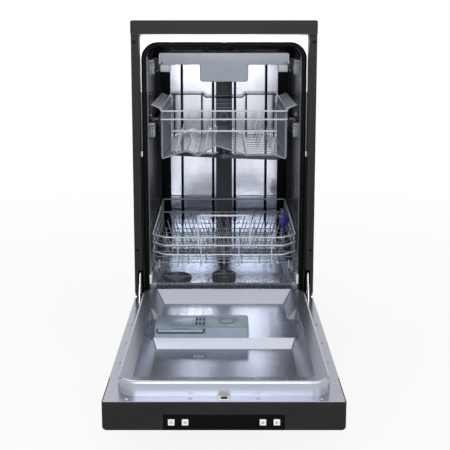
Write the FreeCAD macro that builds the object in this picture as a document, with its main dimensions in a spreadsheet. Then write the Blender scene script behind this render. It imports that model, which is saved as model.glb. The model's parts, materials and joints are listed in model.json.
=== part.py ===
"""Slimline dishwasher, 45 cm wide, with its door open: millimetres, +Z up, front towards -Y.

The origin is on the floor, under the middle of the box that the machine fills with the door open.
"""
import FreeCAD
import Part
import Sketcher
import math
import os
import re
from types import SimpleNamespace
from FreeCAD import Vector

# Driving dimensions, each written once.
SIZES = {
    # cabinet
    "cabinet_width": 448,
    "cabinet_height": 850,
    "cabinet_depth": 550,
    "sheet": 1.2,
    "over_cut": 1,
    "worktop_thick": 33,
    "worktop_nose": 10,
    "worktop_round": 5,
    "post_gap": 3,
    "post_width": 19,
    "base_height": 25,
    "base_wall": 3,
    "base_side_height": 45,
    "base_inset": 28,
    "rear_opening": 130,
    "kick_depth": 46,
    "kick_thick": 2,
    "kick_gap": 3,
    "kick_height": 76,
    "foot_radius": 19,
    "foot_pad": 11,
    "foot_stem_radius": 7,
    "foot_inset": 45,
    "post_screw_radius": 3.5,
    "post_screw_head": 1.5,
    "post_screw_inset": 8,
    "post_screw_drop": 19,
    "post_screw_low": 285,
    # hinges and door
    "hinge_height": 172,
    "hinge_depth": 10,
    "hinge_pin_radius": 4,
    "hinge_eye": 8.8,
    "pin_clearance": 0.05,
    "arm_thick": 2,
    "arm_offset": 4,
    "arm_slot": 10.5,
    "arm_rise": 54,
    "arm_clear": 6,
    "arm_root": 130,
    "arm_web": 22,
    "arm_drop": 4,
    "arm_knee": 36,
    "arm_heel": 30,
    "arm_side": 1,
    "arm_slot_length": 62,
    "arm_seat_start": 125,
    "arm_seat_end": 75,
    "arm_seat_thick": 6,
    "bracket_thick": 3,
    "bracket_gap": 1,
    "bracket_foot": 8,
    "bracket_reach": 58,
    "spring_radius": 9,
    "spring_length": 150,
    "spring_start": 30,
    "door_gap": 1,
    "door_thick": 56,
    "door_tail": 30,
    "door_skin": 1.2,
    "door_corner": 8,
    "tail_lip": 10,
    "tail_clear": 16,
    "fascia_length": 114,
    "fascia_wall": 4,
    "flange_thick": 1,
    "plug_height": 28,
    "plug_overlap": 10.5,
    "plug_draft": 1,
    "plug_near_border": 25,
    "plug_far": 13,
    "plug_corner": 36,
    "plug_round": 5,
    "basin_border": 28.5,
    "basin_slope": 16,
    "basin_near_border": 23,
    "basin_far_border": 6,
    "bay_far_slope": 49,
    "bay_inset": 1.5,
    "bay_throat_slope": 23,
    "bay_mouth_slope": 6,
    "bay_mouth": 170,
    "bay_jog": 12,
    "bay_depth": 23,
    "bay_length": 296,
    "bay_overlap": 20,
    "well_depth": 37,
    "well_slope": 31,
    "basin_corner": 4,
    # control panel
    "window_half": 112,
    "window_height": 30,
    "window_thick": 2,
    "window_gap": 0.5,
    "button_side": 12.3,
    "button_clear": 0.3,
    "button_proud": 0.6,
    "button_depth": 6.5,
    "button_inner": 71.5,
    "button_outer": 97,
    "button_rise": 15,
    "board_thick": 12,
    "board_height": 18,
    "board_gap": 2,
    # dispenser
    "dispenser_right": 54,
    "dispenser_split": 40,
    "dispenser_far": 223,
    "dispenser_length": 86,
    "dispenser_sink": 34,
    "dispenser_rim": 5,
    "dispenser_border": 21,
    "dispenser_clear": 0.5,
    "lid_thick": 4,
    "lid_border": 2,
    "lid_setback": 1.5,
    "lid_pin_setback": 4.5,
    "lid_pin_inset": 0.8,
    "lid_pin_play": 0.3,
    "lid_relief": 12,
    "well_border": 12,
    "well_setback": 18,
    "well_base": 3,
    "finger_start": 40,
    "finger_end": 75,
    "finger_depth": 7,
    "finger_height": 1.5,
    "lid_pin_radius": 1.5,
    "lid_clear": 0.5,
    "rinse_cap_radius": 16,
    "rinse_cap_depth": 6,
    "rinse_cap_proud": 0.5,
    "rinse_grip_half": 11,
    "rinse_grip_offset": 5,
    "rinse_grip_width": 5,
    "rinse_grip_depth": 2.5,
    # latch
    "latch_half": 12,
    "latch_slot_half": 8.5,
    "latch_length": 18,
    "latch_depth": 28,
    "latch_clear": 0.3,
    "latch_proud": 1.5,
    "latch_slot_side": 2.5,
    "latch_slot_spare": 8,
    "strike_half": 7,
    "strike_thick": 7,
    "strike_drop": 15,
    "strike_reach": 14,
    # tub
    "tub_sheet": 1,
    "tub_depth": 525,
    "tub_gap": 15,
    "tub_round": 28,
    "roof_gap": 31,
    "seal_gap": 0.4,
    "gasket_depth": 12,
    "gasket_width": 12,
    "floor_level": 172,
    "flange_drop": 12,
    "track_width": 17,
    "track_slope": 10,
    "ramp_thick": 6,
    "ramp_length": 29,
    "ramp_height": 20,
    "bead_width": 8,
    "bead_height": 5,
    "bead_inner": 33,
    "bead_border": 64,
    "bead_foot": 70,
    "bead_drop": 50,
    # water path
    "sump_y": 115,
    "sump_radius": 62,
    "sump_depth": 76,
    "sump_wall": 3,
    "filter_radius": 30,
    "filter_height": 22,
    "filter_wall": 3,
    "filter_gap": 4,
    "filter_grip_half": 4,
    "filter_grip_low": 6,
    "plate_radius": 57,
    "plate_lap": 6,
    "plate_thick": 2,
    "salt_cap_radius": 38,
    "salt_cap_height": 12,
    "salt_neck_radius": 31,
    "salt_border": 66,
    "salt_setback": 5,
    "neck_wall": 4,
    "cap_skirt": 8,
    "cap_grip_half": 8,
    "cap_grip_depth": 9,
    "cap_rim": 7,
    "tank_length": 205,
    "tank_gap": 3,
    "tank_drop": 14,
    "tank_front": 55,
    "tank_base": 6,
    "tank_height": 88,
    "pipe_width": 48,
    "pipe_thick": 20,
    "pipe_drop": 41,
    "roof_pipe": 12,
    "port_length": 8,
    "port_rise": 6,
    "port_step": 53,
    "port_depth": 6,
    "port_lip": 2,
    "port_radius": 15,
    "arm_y": 280,
    "lower_arm_border": 30,
    "upper_arm_border": 32,
    "upper_arm_drop": 30,
    "lower_arm_level": 205,
    "spray_thick": 10,
    "upper_arm_turn": -16,
    "spray_hub": 22,
    "spray_tip": 11,
    "spray_waist": 3,
    "spray_rise": 2,
    "spray_drop": 8,
    "post_rise": 4,
    "bore_depth": 6,
    "feed_tube_radius": 11,
    "sprinkler_radius": 26,
    "sprinkler_drop": 5,
    "pump_radius": 44,
    "pump_length": 150,
    "pump_start": 40,
    "pump_lift": 12,
    "pump_foot_half": 25,
    "pump_foot_start": 10,
    "pump_foot_length": 90,
    "pump_foot_height": 24,
    "pump_arm_drop": 26,
    "pump_x": 70,
    "drain_radius": 27,
    "drain_length": 72,
    "drain_drop": 4,
    "inlet_radius": 13.2,
    "inlet_length": 16,
    "outlet_radius": 10,
    "collar_step": 4,
    "collar_proud": 2,
    "service_border": 74,
    "service_pitch": 60,
    "valve_half": 24,
    "valve_depth": 46,
    "valve_rise": 22,
    "drain_flange": 4,
    "outlet_extra": 6,
    "box_half": 40,
    "box_depth": 34,
    "box_rise": 28,
    "gland_length": 12,
    "gland_wall": 3.8,
    "service_height": 78,
    "gland_radius": 4.5,
    # rails
    "rail_width": 12,
    "rail_height": 26,
    "rail_sheet": 1.2,
    "rail_gap": 6,
    "rail_front": 62,
    "rail_length": 420,
    "tray_rail_drop": 51,
    "basket_rail_drop": 51,
    "rail_cap": 12,
    "guide_length": 26,
    "guide_lip": 4,
    "guide_setback": 2,
    "guide_first": 12,
    "guide_second": 140,
    "shoe_length": 30,
    "shoe_first": 212,
    "shoe_second": 330,
    "run_gap": 0.4,
    # cutlery tray
    "tray_front": 52,
    "tray_border": 32,
    "tray_drop": 44,
    "tray_slot_pitch": 40,
    "tray_slot_length": 24,
    "tray_length": 440,
    "tray_wall": 3,
    "tray_height": 25,
    "bar_thick": 16,
    "bar_height": 29,
    "bar_corner": 8,
    "grip_half": 60,
    "grip_drop": 42,
    "grip_corner": 8,
    # wire baskets
    "wire": 4,
    "upper_front": 48,
    "upper_border": 30,
    "upper_drop": 158,
    "upper_depth": 120,
    "wire_two_drop": 21,
    "wire_three_drop": 50,
    "rear_rise": 8,
    "upper_bar_border": 36,
    "upper_length": 440,
    "upper_pitch": 34,
    "upper_bar_inner": 26,
    "fold_gap": 1.3,
    "side_plate_thick": 3,
    "side_plate_bar": 18,
    "side_plate_foot": 8,
    "side_plate_step": 30,
    "side_plate_rise": 26,
    "side_plate_drop": 6,
    "side_plate_setback": 12,
    "side_plate_reach": 308,
    "shelf_width": 26,
    "shelf_thick": 3,
    "shelf_lean": 66,
    "shelf_length": 384,
    "shelf_start": 6,
    "lower_front": 50,
    "lower_border": 4,
    "lower_length": 452,
    "lower_floor": 228,
    "lower_rim": 305,
    "lower_wire_two": 284,
    "lower_wire_three": 260,
    "side_rim": 316,
    "side_wire_two": 275,
    "corner_cut": 36,
    "lower_pitch": 35,
    "handle_half": 66,
    "handle_height": 54,
    "tine_height": 70,
    "tine_lean": 20,
    "tine_border": 60,
    "tine_pitch": 30,
    "tine_first": 60,
    "tine_step": 78,
    "fold_first": 232,
    "tine_last": 340,
    "clip_width": 14,
    "clip_thick": 12,
    "clip_lift": 36,
    "clip_round": 2.5,
    "clip_height": 66,
    "wheel_radius": 16,
    "wheel_width": 8.5,
    "wheel_border": 16.5,
    "wheel_lift": 0.3,
    "wheel_round": 1.5,
    "hanger_thick": 3,
    "hanger_gap": 0.5,
    "hanger_half": 8,
    "hanger_drop": 3,
    "axle_radius": 3,
    "wheel_first": 70,
    "wheel_second": 380,
    "door_screw_radius": 4,
    "door_screw_head": 1.5,
    "door_screw_step": 118,
    "door_screw_start": 90,
    "door_screw_shift": 2,
}

# Places and sizes that follow from the driving dimensions.
FORMULAS = {
    "half": "cabinet_width / 2",
    "top_under": "cabinet_height - worktop_thick",
    "door_top": "top_under - door_gap",
    "front": "(door_top + button_proud - hinge_depth - hinge_height - cabinet_depth) / 2",
    "back": "front + cabinet_depth",
    "post_screw_high": "top_under - post_screw_drop",
    "post_front": "front + post_gap",
    "post_edge": "half - post_width",
    "tub_half": "post_edge - tub_gap",
    "plug_half": "tub_half + plug_overlap",
    "basin_half": "plug_half - basin_border",
    "dispenser_left": "basin_half - dispenser_border",
    "roof_height": "top_under - roof_gap",
    "strike_height": "top_under - strike_drop",
    "bead_outer": "tub_half - bead_border",
    "salt_x": "tub_half - salt_border",
    "tank_width": "2 * (salt_x - sump_radius - tank_gap)",
    "pipe_top": "roof_height - pipe_drop",
    "upper_rim": "roof_height - upper_drop",
    "upper_floor": "upper_rim - upper_depth",
    "upper_wire_two": "upper_rim - wire_two_drop",
    "upper_wire_three": "upper_rim - wire_three_drop",
    "port_low": "upper_floor + port_rise",
    "port_high": "port_low + port_step",
    "lower_arm_half": "tub_half - lower_arm_border",
    "upper_arm_half": "tub_half - upper_arm_border",
    "upper_arm_level": "upper_floor - upper_arm_drop",
    "service_x": "half - service_border",
    "outlet_x": "service_x - service_pitch",
    "tray_rail": "roof_height - tray_rail_drop",
    "tray_floor": "roof_height - tray_drop",
    "tray_half": "tub_half - tray_border",
    "basket_rail": "upper_rim - basket_rail_drop",
    "upper_half": "tub_half - upper_border",
    "upper_bar_outer": "upper_half - upper_bar_border",
    "lower_half": "tub_half - lower_border",
    "wheel_x": "tub_half - wheel_border",
    "flange_z": "hinge_height - hinge_depth",
    "hinge_y": "front + hinge_depth",
    "door_near": "front + hinge_depth + hinge_height - door_top",
    "door_far": "hinge_y + door_tail",
    "door_low": "flange_z - door_thick",
    "panel_near": "door_near + fascia_length",
    "plug_top": "flange_z + plug_height",
    "plug_near_y": "door_near + plug_near_border",
    "plug_far_y": "front - plug_far",
    "basin_near_y": "plug_near_y + basin_near_border",
    "basin_far_y": "plug_far_y - basin_far_border",
    "bay_floor": "plug_top - bay_depth",
    "bay_near_y": "plug_far_y - bay_length",
    "well_floor": "plug_top - well_depth",
    "gasket_y": "front + plug_height + seal_gap",
    "mouth_y": "gasket_y + gasket_depth",
    "tub_end": "front + tub_depth",
    "track_z": "plug_top",
    "sump_at": "front + sump_y",
    "arm_at": "front + arm_y",
    "arm_x": "post_edge + arm_offset",
    "disp_far": "front - dispenser_far",
    "disp_near": "front - dispenser_far - dispenser_length",
    "window_low": "door_low + window_gap",
    "button_z": "door_low + button_rise",
    "latch_y": "front + hinge_depth + hinge_height - strike_height",
    "rail_outer": "tub_half - rail_gap",
    "rail_inner": "tub_half - rail_gap - rail_width",
    "rail_start": "front + rail_front",
    "tray_y": "front + tray_front",
    "upper_y": "front + upper_front",
    "lower_y": "front + lower_front",
    "lower_end": "front + lower_front + lower_length",
    "upper_end": "front + upper_front + upper_length",
    "wheel_z": "track_z + wheel_radius + wheel_lift",
    "salt_at": "front + sump_y - salt_setback",
}

doc = FreeCAD.newDocument("dishwasher")
sheet = doc.addObject("Spreadsheet::Sheet", "sizes")
cells = list(SIZES.items()) + [(alias, "=" + formula) for alias, formula in FORMULAS.items()]
for row, (alias, content) in enumerate(cells, start=1):
    sheet.set(f"A{row}", alias)
    sheet.set(f"B{row}", str(content))
    sheet.setAlias(f"B{row}", alias)
doc.recompute()
s = SimpleNamespace(**{alias: float(sheet.get(alias)) for alias, content in cells})
pieces = []


def link(formula):
    """The same formula with each name pointing at its cell of the sheet."""
    return re.sub(r"[a-z_][a-z0-9_]*", lambda word: "sizes." + word.group(), str(formula))


def node(obj, label):
    """Register an object as a sub-part under its own name."""
    obj.Label = label
    pieces.append(obj)
    return obj


def block(name, x, y, z):
    """A box between a low and a high formula on each axis."""
    box = doc.addObject("Part::Box", name)
    for axis, side, (low, high) in zip("xyz", ("Length", "Width", "Height"), (x, y, z)):
        box.setExpression(side, link(f"({high}) - ({low})"))
        box.setExpression("Placement.Base." + axis, link(low))
    return box


TURN = {
    "x": FreeCAD.Rotation(Vector(0, 1, 0), 90),
    "y": FreeCAD.Rotation(Vector(1, 0, 0), -90),
    "z": FreeCAD.Rotation(),
}


def rod(name, axis, radius, at, start, end):
    """A cylinder along an axis from start to end; at gives the other two coordinates in x, y, z order."""
    bar = doc.addObject("Part::Cylinder", name)
    bar.Placement = FreeCAD.Placement(Vector(), TURN[axis])
    bar.setExpression("Radius", link(radius))
    bar.setExpression("Height", link(f"({end}) - ({start})"))
    others = [other for other in "xyz" if other != axis]
    for other, place in zip(others, at):
        bar.setExpression("Placement.Base." + other, link(place))
    bar.setExpression("Placement.Base." + axis, link(start))
    return bar


def fuse(name, *parts):
    """Several solids joined into one."""
    joined = doc.addObject("Part::MultiFuse", name)
    joined.Shapes = list(parts)
    joined.Refine = True
    return joined


def cut(name, base, *tools):
    """A solid with others taken out of it."""
    result = doc.addObject("Part::Cut", name)
    result.Base = base
    result.Tool = tools[0] if len(tools) == 1 else fuse(name + "_tools", *tools)
    result.Refine = True
    return result


def group(name, *parts):
    """Separate solids that share one node."""
    holder = doc.addObject("Part::Compound", name)
    holder.Links = list(parts)
    return holder


def across(sign, low, high):
    """A range of x on the right (+1) or the left (-1) side of the machine."""
    return (low, high) if sign > 0 else (f"-({high})", f"-({low})")


def prism(name, plane, outline, low, high):
    """A body padded from a sketch whose corners are formulas, from low to high along the plane's axis."""
    body = doc.addObject("PartDesign::Body", name)
    drawing = body.newObject("Sketcher::SketchObject", name + "_outline")
    origin_plane = [feature for feature in body.Origin.OriginFeatures if feature.Role == plane + "_Plane"][0]
    drawing.AttachmentSupport = (origin_plane, [""])
    drawing.MapMode = "FlatFace"
    drawing.setExpression("AttachmentOffset.Base.z", link(f"-({low})" if plane == "XZ" else low))
    count = len(outline)
    corners = [Vector(100 * math.cos(2 * math.pi * i / count), 100 * math.sin(2 * math.pi * i / count), 0)
               for i in range(count)]
    for i in range(count):
        drawing.addGeometry(Part.LineSegment(corners[i], corners[(i + 1) % count]), False)
    for i in range(count):
        drawing.addConstraint(Sketcher.Constraint("Coincident", i, 2, (i + 1) % count, 1))
    for i, corner in enumerate(outline):
        for kind, value, formula in zip(("DistanceX", "DistanceY"), (corners[i].x, corners[i].y), corner):
            index = drawing.addConstraint(Sketcher.Constraint(kind, -1, 1, i, 1, value))
            drawing.setExpression(f"Constraints[{index}]", link(formula))
    pad = body.newObject("PartDesign::Pad", name + "_pad")
    pad.Profile = drawing
    pad.setExpression("Length", link(f"({high}) - ({low})"))
    pad.Reversed = plane == "XZ"
    doc.recompute()
    return body


def round_edges(body, radius, wanted):
    """Fillet the edges of a body whose middle passes the test."""
    base = body.Tip
    names = [f"Edge{i}" for i, edge in enumerate(base.Shape.Edges, start=1) if wanted(edge)]
    fillet = body.newObject("PartDesign::Fillet", body.Name + "_round")
    fillet.Base = (base, names)
    fillet.setExpression("Radius", link(radius))
    doc.recompute()
    return body


def along(edge, axis):
    """Whether an edge runs straight along an axis."""
    first, last = edge.Vertexes[0].Point, edge.Vertexes[-1].Point
    step = (last - first)
    return step.Length > 1e-6 and abs(getattr(step.normalize(), axis)) > 0.999


def near(value, target):
    return abs(value - target) < 0.01


def form(label, shape, placement=FreeCAD.Placement()):
    """A sub-part whose shape is worked out here."""
    feature = doc.addObject("Part::Feature", label)
    feature.Shape = shape
    feature.Placement = placement
    return node(feature, label)


def solid_box(x, y, z):
    """A plain box between number pairs."""
    return Part.makeBox(x[1] - x[0], y[1] - y[0], z[1] - z[0], Vector(x[0], y[0], z[0]))


def rounded_wire(x, y, z, radius):
    """A level rectangle with round corners."""
    x0, x1 = x
    y0, y1 = y
    bend = radius * (1 - math.sqrt(0.5))
    edges = []
    corners = [
        (Vector(x1 - radius, y0, z), Vector(x1 - bend, y0 + bend, z), Vector(x1, y0 + radius, z)),
        (Vector(x1, y1 - radius, z), Vector(x1 - bend, y1 - bend, z), Vector(x1 - radius, y1, z)),
        (Vector(x0 + radius, y1, z), Vector(x0 + bend, y1 - bend, z), Vector(x0, y1 - radius, z)),
        (Vector(x0, y0 + radius, z), Vector(x0 + bend, y0 + bend, z), Vector(x0 + radius, y0, z)),
    ]
    for corner, following in zip(corners, corners[1:] + corners[:1]):
        edges.append(Part.Arc(*corner).toShape())
        edges.append(Part.LineSegment(corner[2], following[0]).toShape())
    return Part.Wire(edges)


def taper(low, high):
    """A solid between two level rounded rectangles, each (x, y, z, radius)."""
    return Part.makeLoft([rounded_wire(*low), rounded_wire(*high)], True, True)


def grid(corner, u, v, u_bars, v_bars, bar, thick):
    """A flat net of bars: corner and the unit directions u and v place it, and the bars give its lines."""
    def rectangle(u0, u1, v0, v1):
        return Part.makePolygon([Vector(a, b, 0) for a, b in
                                 ((u0, v0), (u1, v0), (u1, v1), (u0, v1), (u0, v0))])
    edge = bar / 2
    wires = [rectangle(u_bars[0] - edge, u_bars[-1] + edge, v_bars[0] - edge, v_bars[-1] + edge)]
    for u0, u1 in zip(u_bars, u_bars[1:]):
        for v0, v1 in zip(v_bars, v_bars[1:]):
            wires.append(rectangle(u0 + edge, u1 - edge, v0 + edge, v1 - edge))
    face = Part.makeFace(wires, "Part::FaceMakerBullseye")
    net = face.extrude(Vector(0, 0, thick))
    net.translate(Vector(0, 0, -thick / 2))
    net.Placement = FreeCAD.Placement(corner, FreeCAD.Rotation(u, v, u.cross(v),
                                                               "XYZ")).multiply(net.Placement)
    return net


def lines(low, high, pitch):
    """Evenly spaced bar lines from low to high, about a pitch apart."""
    count = max(1, round((high - low) / pitch))
    return [low + (high - low) * i / count for i in range(count + 1)]


def comb(x_bars, y, z):
    """A row of flat tines on a bar across the basket, leaning out to the left and to the right."""
    edge = s.wire / 2
    points = []
    for x in x_bars:
        lean = s.tine_lean if x > 0 else -s.tine_lean
        foot, top = z + s.wire, z + s.tine_height
        points += [(x - edge, foot), (x + lean - edge, top), (x + lean + edge, top), (x + edge, foot)]
    points += [(x_bars[-1] + edge, z), (x_bars[0] - edge, z)]
    outline = [Vector(a, y - edge, b) for a, b in points]
    face = Part.Face(Part.makePolygon(outline + outline[:1]))
    return face.extrude(Vector(0, s.wire, 0))


# Worktop: a slab with its upper edges and front corners rounded.
worktop = prism("worktop", "XY", [
    ("-half", "front - worktop_nose"), ("half", "front - worktop_nose"), ("half", "back"),
    ("-half", "back"),
], "top_under", "cabinet_height")
round_edges(worktop, "worktop_round", lambda edge: near(edge.CenterOfMass.z, s.cabinet_height)
            or (along(edge, "z") and edge.CenterOfMass.y < s.front))
node(worktop, "worktop")

# Side panels: a sheet folded round into the front post, with a notch for the door's foot and a hinge slot.
for side, sign in (("left", -1), ("right", 1)):
    fold = [
        ("half", "post_front"), ("half", "back"), ("half - sheet", "back"),
        ("half - sheet", "post_front + sheet"), ("post_edge + sheet", "post_front + sheet"),
        ("post_edge + sheet", "mouth_y"), ("post_edge", "mouth_y"), ("post_edge", "post_front"),
    ]
    panel = prism(side + "_panel", "XY", [(f"{sign} * ({x})", y) for x, y in fold], "base_height",
                  "top_under")
    notch = block(side + "_notch", across(sign, "post_edge - over_cut", "half + over_cut"),
                  ("front", "front + kick_depth + kick_thick"), ("base_height - over_cut", "hinge_height"))
    slot = block(side + "_slot", across(sign, "post_edge - over_cut", "post_edge + arm_slot"),
                 ("front", "mouth_y + over_cut"), ("hinge_height - over_cut",
                                                   "hinge_height + arm_rise + arm_clear"))
    node(cut(side + "_cabinet_side", panel, notch, slot), side + "_side_panel")

# Back panel, stopping above the recess for the water and mains connections.
node(block("back_sheet", ("sheet - half", "half - sheet"), ("back - sheet", "back"),
           ("rear_opening", "top_under")), "back_panel")

# Base tray: a moulded tub with a tall front wall and a rear wall that carries the connections.
tray_x = ("sheet - half", "half - sheet")
tray_y = ("front + kick_depth + kick_thick", "back - base_inset")
base_block = block("base_block", tray_x, tray_y, ("base_height", "base_height + base_side_height"))
base_front = block("base_front", tray_x,
                   (tray_y[0], tray_y[0] + " + base_wall"), ("base_height", "rear_opening"))
base_rear = block("base_rear", tray_x, ("back - base_inset - base_wall", "back - base_inset"),
                  ("base_height", "rear_opening"))
base_hollow = block("base_hollow", ("sheet - half + base_wall", "half - sheet - base_wall"),
                    (tray_y[0] + " + base_wall", "back - base_inset - base_wall"),
                    ("base_height + base_wall", "rear_opening + over_cut"))
wall_in = "back - base_inset - base_wall"
wall_out = "back - base_inset"
through_wall = (wall_in + " - over_cut", wall_out + " + over_cut")
inlet_hole = rod("inlet_hole", "y", "inlet_radius + collar_step + run_gap", ("service_x", "service_height"),
                 *through_wall)
outlet_hole = rod("outlet_hole", "y", "outlet_radius + collar_step + run_gap",
                  ("outlet_x", "service_height"),
                  *through_wall)
gland_hole = rod("gland_hole", "y", "gland_radius + gland_wall + run_gap / 2",
                 ("-service_x", "service_height"),
                 *through_wall)
base_shell = cut("base_shell", fuse("base_walls", base_block, base_front, base_rear),
                 base_hollow, inlet_hole, outlet_hole, gland_hole)
node(base_shell, "base_tray")

# Kickplate in front of the base.
node(block("kick_sheet", tray_x, ("front + kick_depth", "front + kick_depth + kick_thick"),
           ("base_height + kick_gap", "base_height + kick_gap + kick_height")), "kickplate")

# Feet: a pad and a threaded stem under each corner of the base.
feet = []
for index, (x, y) in enumerate([(x, y) for x in ("foot_inset - half", "half - foot_inset")
                                for y in ("front + kick_depth + foot_inset",
                                          "back - base_inset - foot_inset")]):
    pad = rod(f"foot_pad_{index}", "z", "foot_radius", (x, y), "0", "foot_pad")
    stem = rod(f"foot_stem_{index}", "z", "foot_stem_radius", (x, y), "foot_pad", "base_height")
    feet.append(fuse(f"foot_{index}", pad, stem))
node(group("feet_group", *feet), "feet")

# Screws in the posts.
heads = []
for sign in (-1, 1):
    for height in ("post_screw_low", "post_screw_high"):
        heads.append(rod(f"post_screw_{len(heads)}", "y", "post_screw_radius",
                         (f"{sign} * (half - post_screw_inset)", height), "post_front - post_screw_head",
                         "post_front"))
node(group("post_screw_group", *heads), "post_screws")

# Tub wrap: one sheet bent over the two sides and the roof.
def arch(half_width, top, radius, y):
    """An open-bottomed arch with round upper corners, as a closed face above the floor."""
    bend = radius * (1 - math.sqrt(0.5))
    low = s.floor_level
    edges = [
        Part.LineSegment(Vector(-half_width, y, low), Vector(-half_width, y, top - radius)).toShape(),
        Part.Arc(Vector(-half_width, y, top - radius), Vector(-half_width + bend, y, top - bend),
                 Vector(-half_width + radius, y, top)).toShape(),
        Part.LineSegment(Vector(-half_width + radius, y, top),
                         Vector(half_width - radius, y, top)).toShape(),
        Part.Arc(Vector(half_width - radius, y, top), Vector(half_width - bend, y, top - bend),
                 Vector(half_width, y, top - radius)).toShape(),
        Part.LineSegment(Vector(half_width, y, top - radius), Vector(half_width, y, low)).toShape(),
        Part.LineSegment(Vector(half_width, y, low), Vector(-half_width, y, low)).toShape(),
    ]
    return Part.Face(Part.Wire(edges))


def arch_block(grow, y0, y1):
    """A solid arch, grown outwards from the tub's clear opening, between two depths."""
    face = arch(s.tub_half + grow, s.roof_height + grow, s.tub_round + grow, y0)
    return face.extrude(Vector(0, y1 - y0, 0))


wrap = arch_block(s.tub_sheet, s.mouth_y, s.tub_end).cut(arch_block(0, s.mouth_y - s.over_cut,
                                                                    s.tub_end + s.over_cut))
form("tub_wrap", wrap)

# Tub back with four pressed beads that stand into the tub.
back_sheet = arch_block(s.tub_sheet, s.tub_end, s.tub_end + s.tub_sheet)
bead_low = s.floor_level + s.bead_foot
bead_high = s.roof_height - s.bead_drop
for x in (-s.bead_outer, -s.bead_inner, s.bead_inner, s.bead_outer):
    edge = s.bead_width / 2
    bead = solid_box((x - edge, x + edge), (s.tub_end - s.bead_height, s.tub_end), (bead_low, bead_high))
    ridge = [e for e in bead.Edges if near(e.CenterOfMass.y, s.tub_end - s.bead_height) and along(e, "z")]
    back_sheet = back_sheet.fuse(bead.makeChamfer(min(s.bead_width, s.bead_height) * 0.45, ridge))
form("tub_back", back_sheet.removeSplitter())

# Tub floor: a pressed pan with a wheel track along each side, and openings for the sump, arm and salt neck.
floor_outline = [
    (-s.tub_half, s.track_z), (-s.tub_half + s.track_width, s.track_z),
    (-s.tub_half + s.track_width + s.track_slope, s.floor_level),
    (s.tub_half - s.track_width - s.track_slope, s.floor_level),
    (s.tub_half - s.track_width, s.track_z), (s.tub_half, s.track_z),
]
under = [(x, z - s.tub_sheet) for x, z in reversed(floor_outline)]
pan = Part.Face(Part.makePolygon([Vector(x, s.mouth_y, z) for x,
                                  z in floor_outline + under + floor_outline[:1]]))
pan = pan.extrude(Vector(0, s.tub_end - s.mouth_y, 0))
hole_low = s.floor_level - 2 * s.tub_sheet
for x, y, radius in ((0, s.sump_at, s.plate_radius - s.plate_lap),
                     (-s.salt_x, s.salt_at, s.salt_neck_radius + s.over_cut),
                     (0, s.arm_at, s.feed_tube_radius + s.over_cut)):
    pan = pan.cut(Part.makeCylinder(radius, 4 * s.tub_sheet, Vector(x, y, hole_low)))
lip = solid_box((-s.tub_half + s.track_width, s.tub_half - s.track_width),
                (s.mouth_y, s.mouth_y + s.tub_sheet),
                (s.floor_level, s.track_z - s.tub_sheet))
form("tub_floor", pan.fuse(lip).removeSplitter())

# Front flange of the tub, closing the space between the tub's mouth and the posts.
flange = solid_box((-s.post_edge, s.post_edge), (s.mouth_y - s.tub_sheet, s.mouth_y),
                   (s.floor_level - s.flange_drop, s.top_under))
opening = arch_block(0, s.mouth_y - 2 * s.tub_sheet, s.mouth_y + s.tub_sheet)
form("tub_front_flange", flange.cut(opening))

# Door gasket: a rubber profile round the mouth, rounded towards the door.
seat = s.mouth_y - s.tub_sheet
ring = arch_block(s.gasket_width, s.gasket_y, seat).cut(arch_block(0, s.gasket_y - s.over_cut,
                                                                   seat + s.over_cut))
soft = [e for e in ring.Edges if near(e.BoundBox.YMin, s.gasket_y) and near(e.BoundBox.YMax, s.gasket_y)
        and e.BoundBox.ZMax > s.floor_level + s.tub_sheet]
gasket = doc.addObject("Part::Feature", "gasket_ring")
gasket.Shape = ring.makeFillet(s.gasket_width * 0.35, soft)

# Lower seal strip under the door's edge, and the plastic ramps beside it.
strip = block("seal_strip", ("-tub_half", "tub_half"), ("gasket_y", "mouth_y - tub_sheet"),
              ("floor_level - flange_drop", "floor_level - tub_sheet"))
node(group("gasket_group", gasket, strip), "door_gasket")
ramps = [block(f"ramp_{index}", across(sign, "tub_half - ramp_thick", "tub_half"),
               ("mouth_y + tub_sheet", "mouth_y + tub_sheet + ramp_length"),
               ("track_z", "track_z + ramp_height"))
         for index, sign in enumerate((-1, 1))]
node(group("ramp_group", *ramps), "corner_ramps")

# Outer door panel: a painted sheet folded up at its sides, with a short lip round the foot of the door.
outer_door = prism("door_fold", "XZ", [
    ("-half", "flange_z - flange_thick"), ("-half", "door_low"), ("half", "door_low"),
    ("half", "flange_z - flange_thick"), ("half - door_skin", "flange_z - flange_thick"),
    ("half - door_skin", "door_low + door_skin"), ("door_skin - half", "door_low + door_skin"),
    ("door_skin - half", "flange_z - flange_thick"),
], "panel_near", "door_far")
round_edges(outer_door, "door_corner",
            lambda edge: along(edge, "y") and near(edge.CenterOfMass.z, s.door_low))
round_edges(outer_door, "door_corner - door_skin",
            lambda edge: along(edge, "y") and near(edge.CenterOfMass.z, s.door_low + s.door_skin))
tail_clear = block("tail_clear", ("-half - over_cut", "half + over_cut"),
                   ("hinge_y - tail_clear", "door_far + over_cut"),
                   ("door_low + tail_lip", "flange_z + over_cut"))
node(cut("outer_door", outer_door, tail_clear), "outer_door_panel")

# Inner door panel: a steel pressing with a flat flange, a raised plug and a stepped basin.
x_plug = (-s.plug_half, s.plug_half)
y_plug = (s.plug_near_y, s.plug_far_y)


def plug_solid(inset, top):
    """The raised plug, drawn in by an inset on every side."""
    low = s.flange_z - s.flange_thick
    body = taper(((x_plug[0] + inset, x_plug[1] - inset), (y_plug[0] + inset, y_plug[1] - inset), low,
                  s.plug_corner - inset),
                 ((x_plug[0] + inset + s.plug_draft, x_plug[1] - inset - s.plug_draft),
                  (y_plug[0] + inset + s.plug_draft, y_plug[1] - inset), top, s.plug_corner - inset))
    rim = [e for e in body.Edges if near(e.BoundBox.ZMin, top) and near(e.BoundBox.ZMax, top)]
    return body.makeFillet(s.plug_round - inset, rim)


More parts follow.
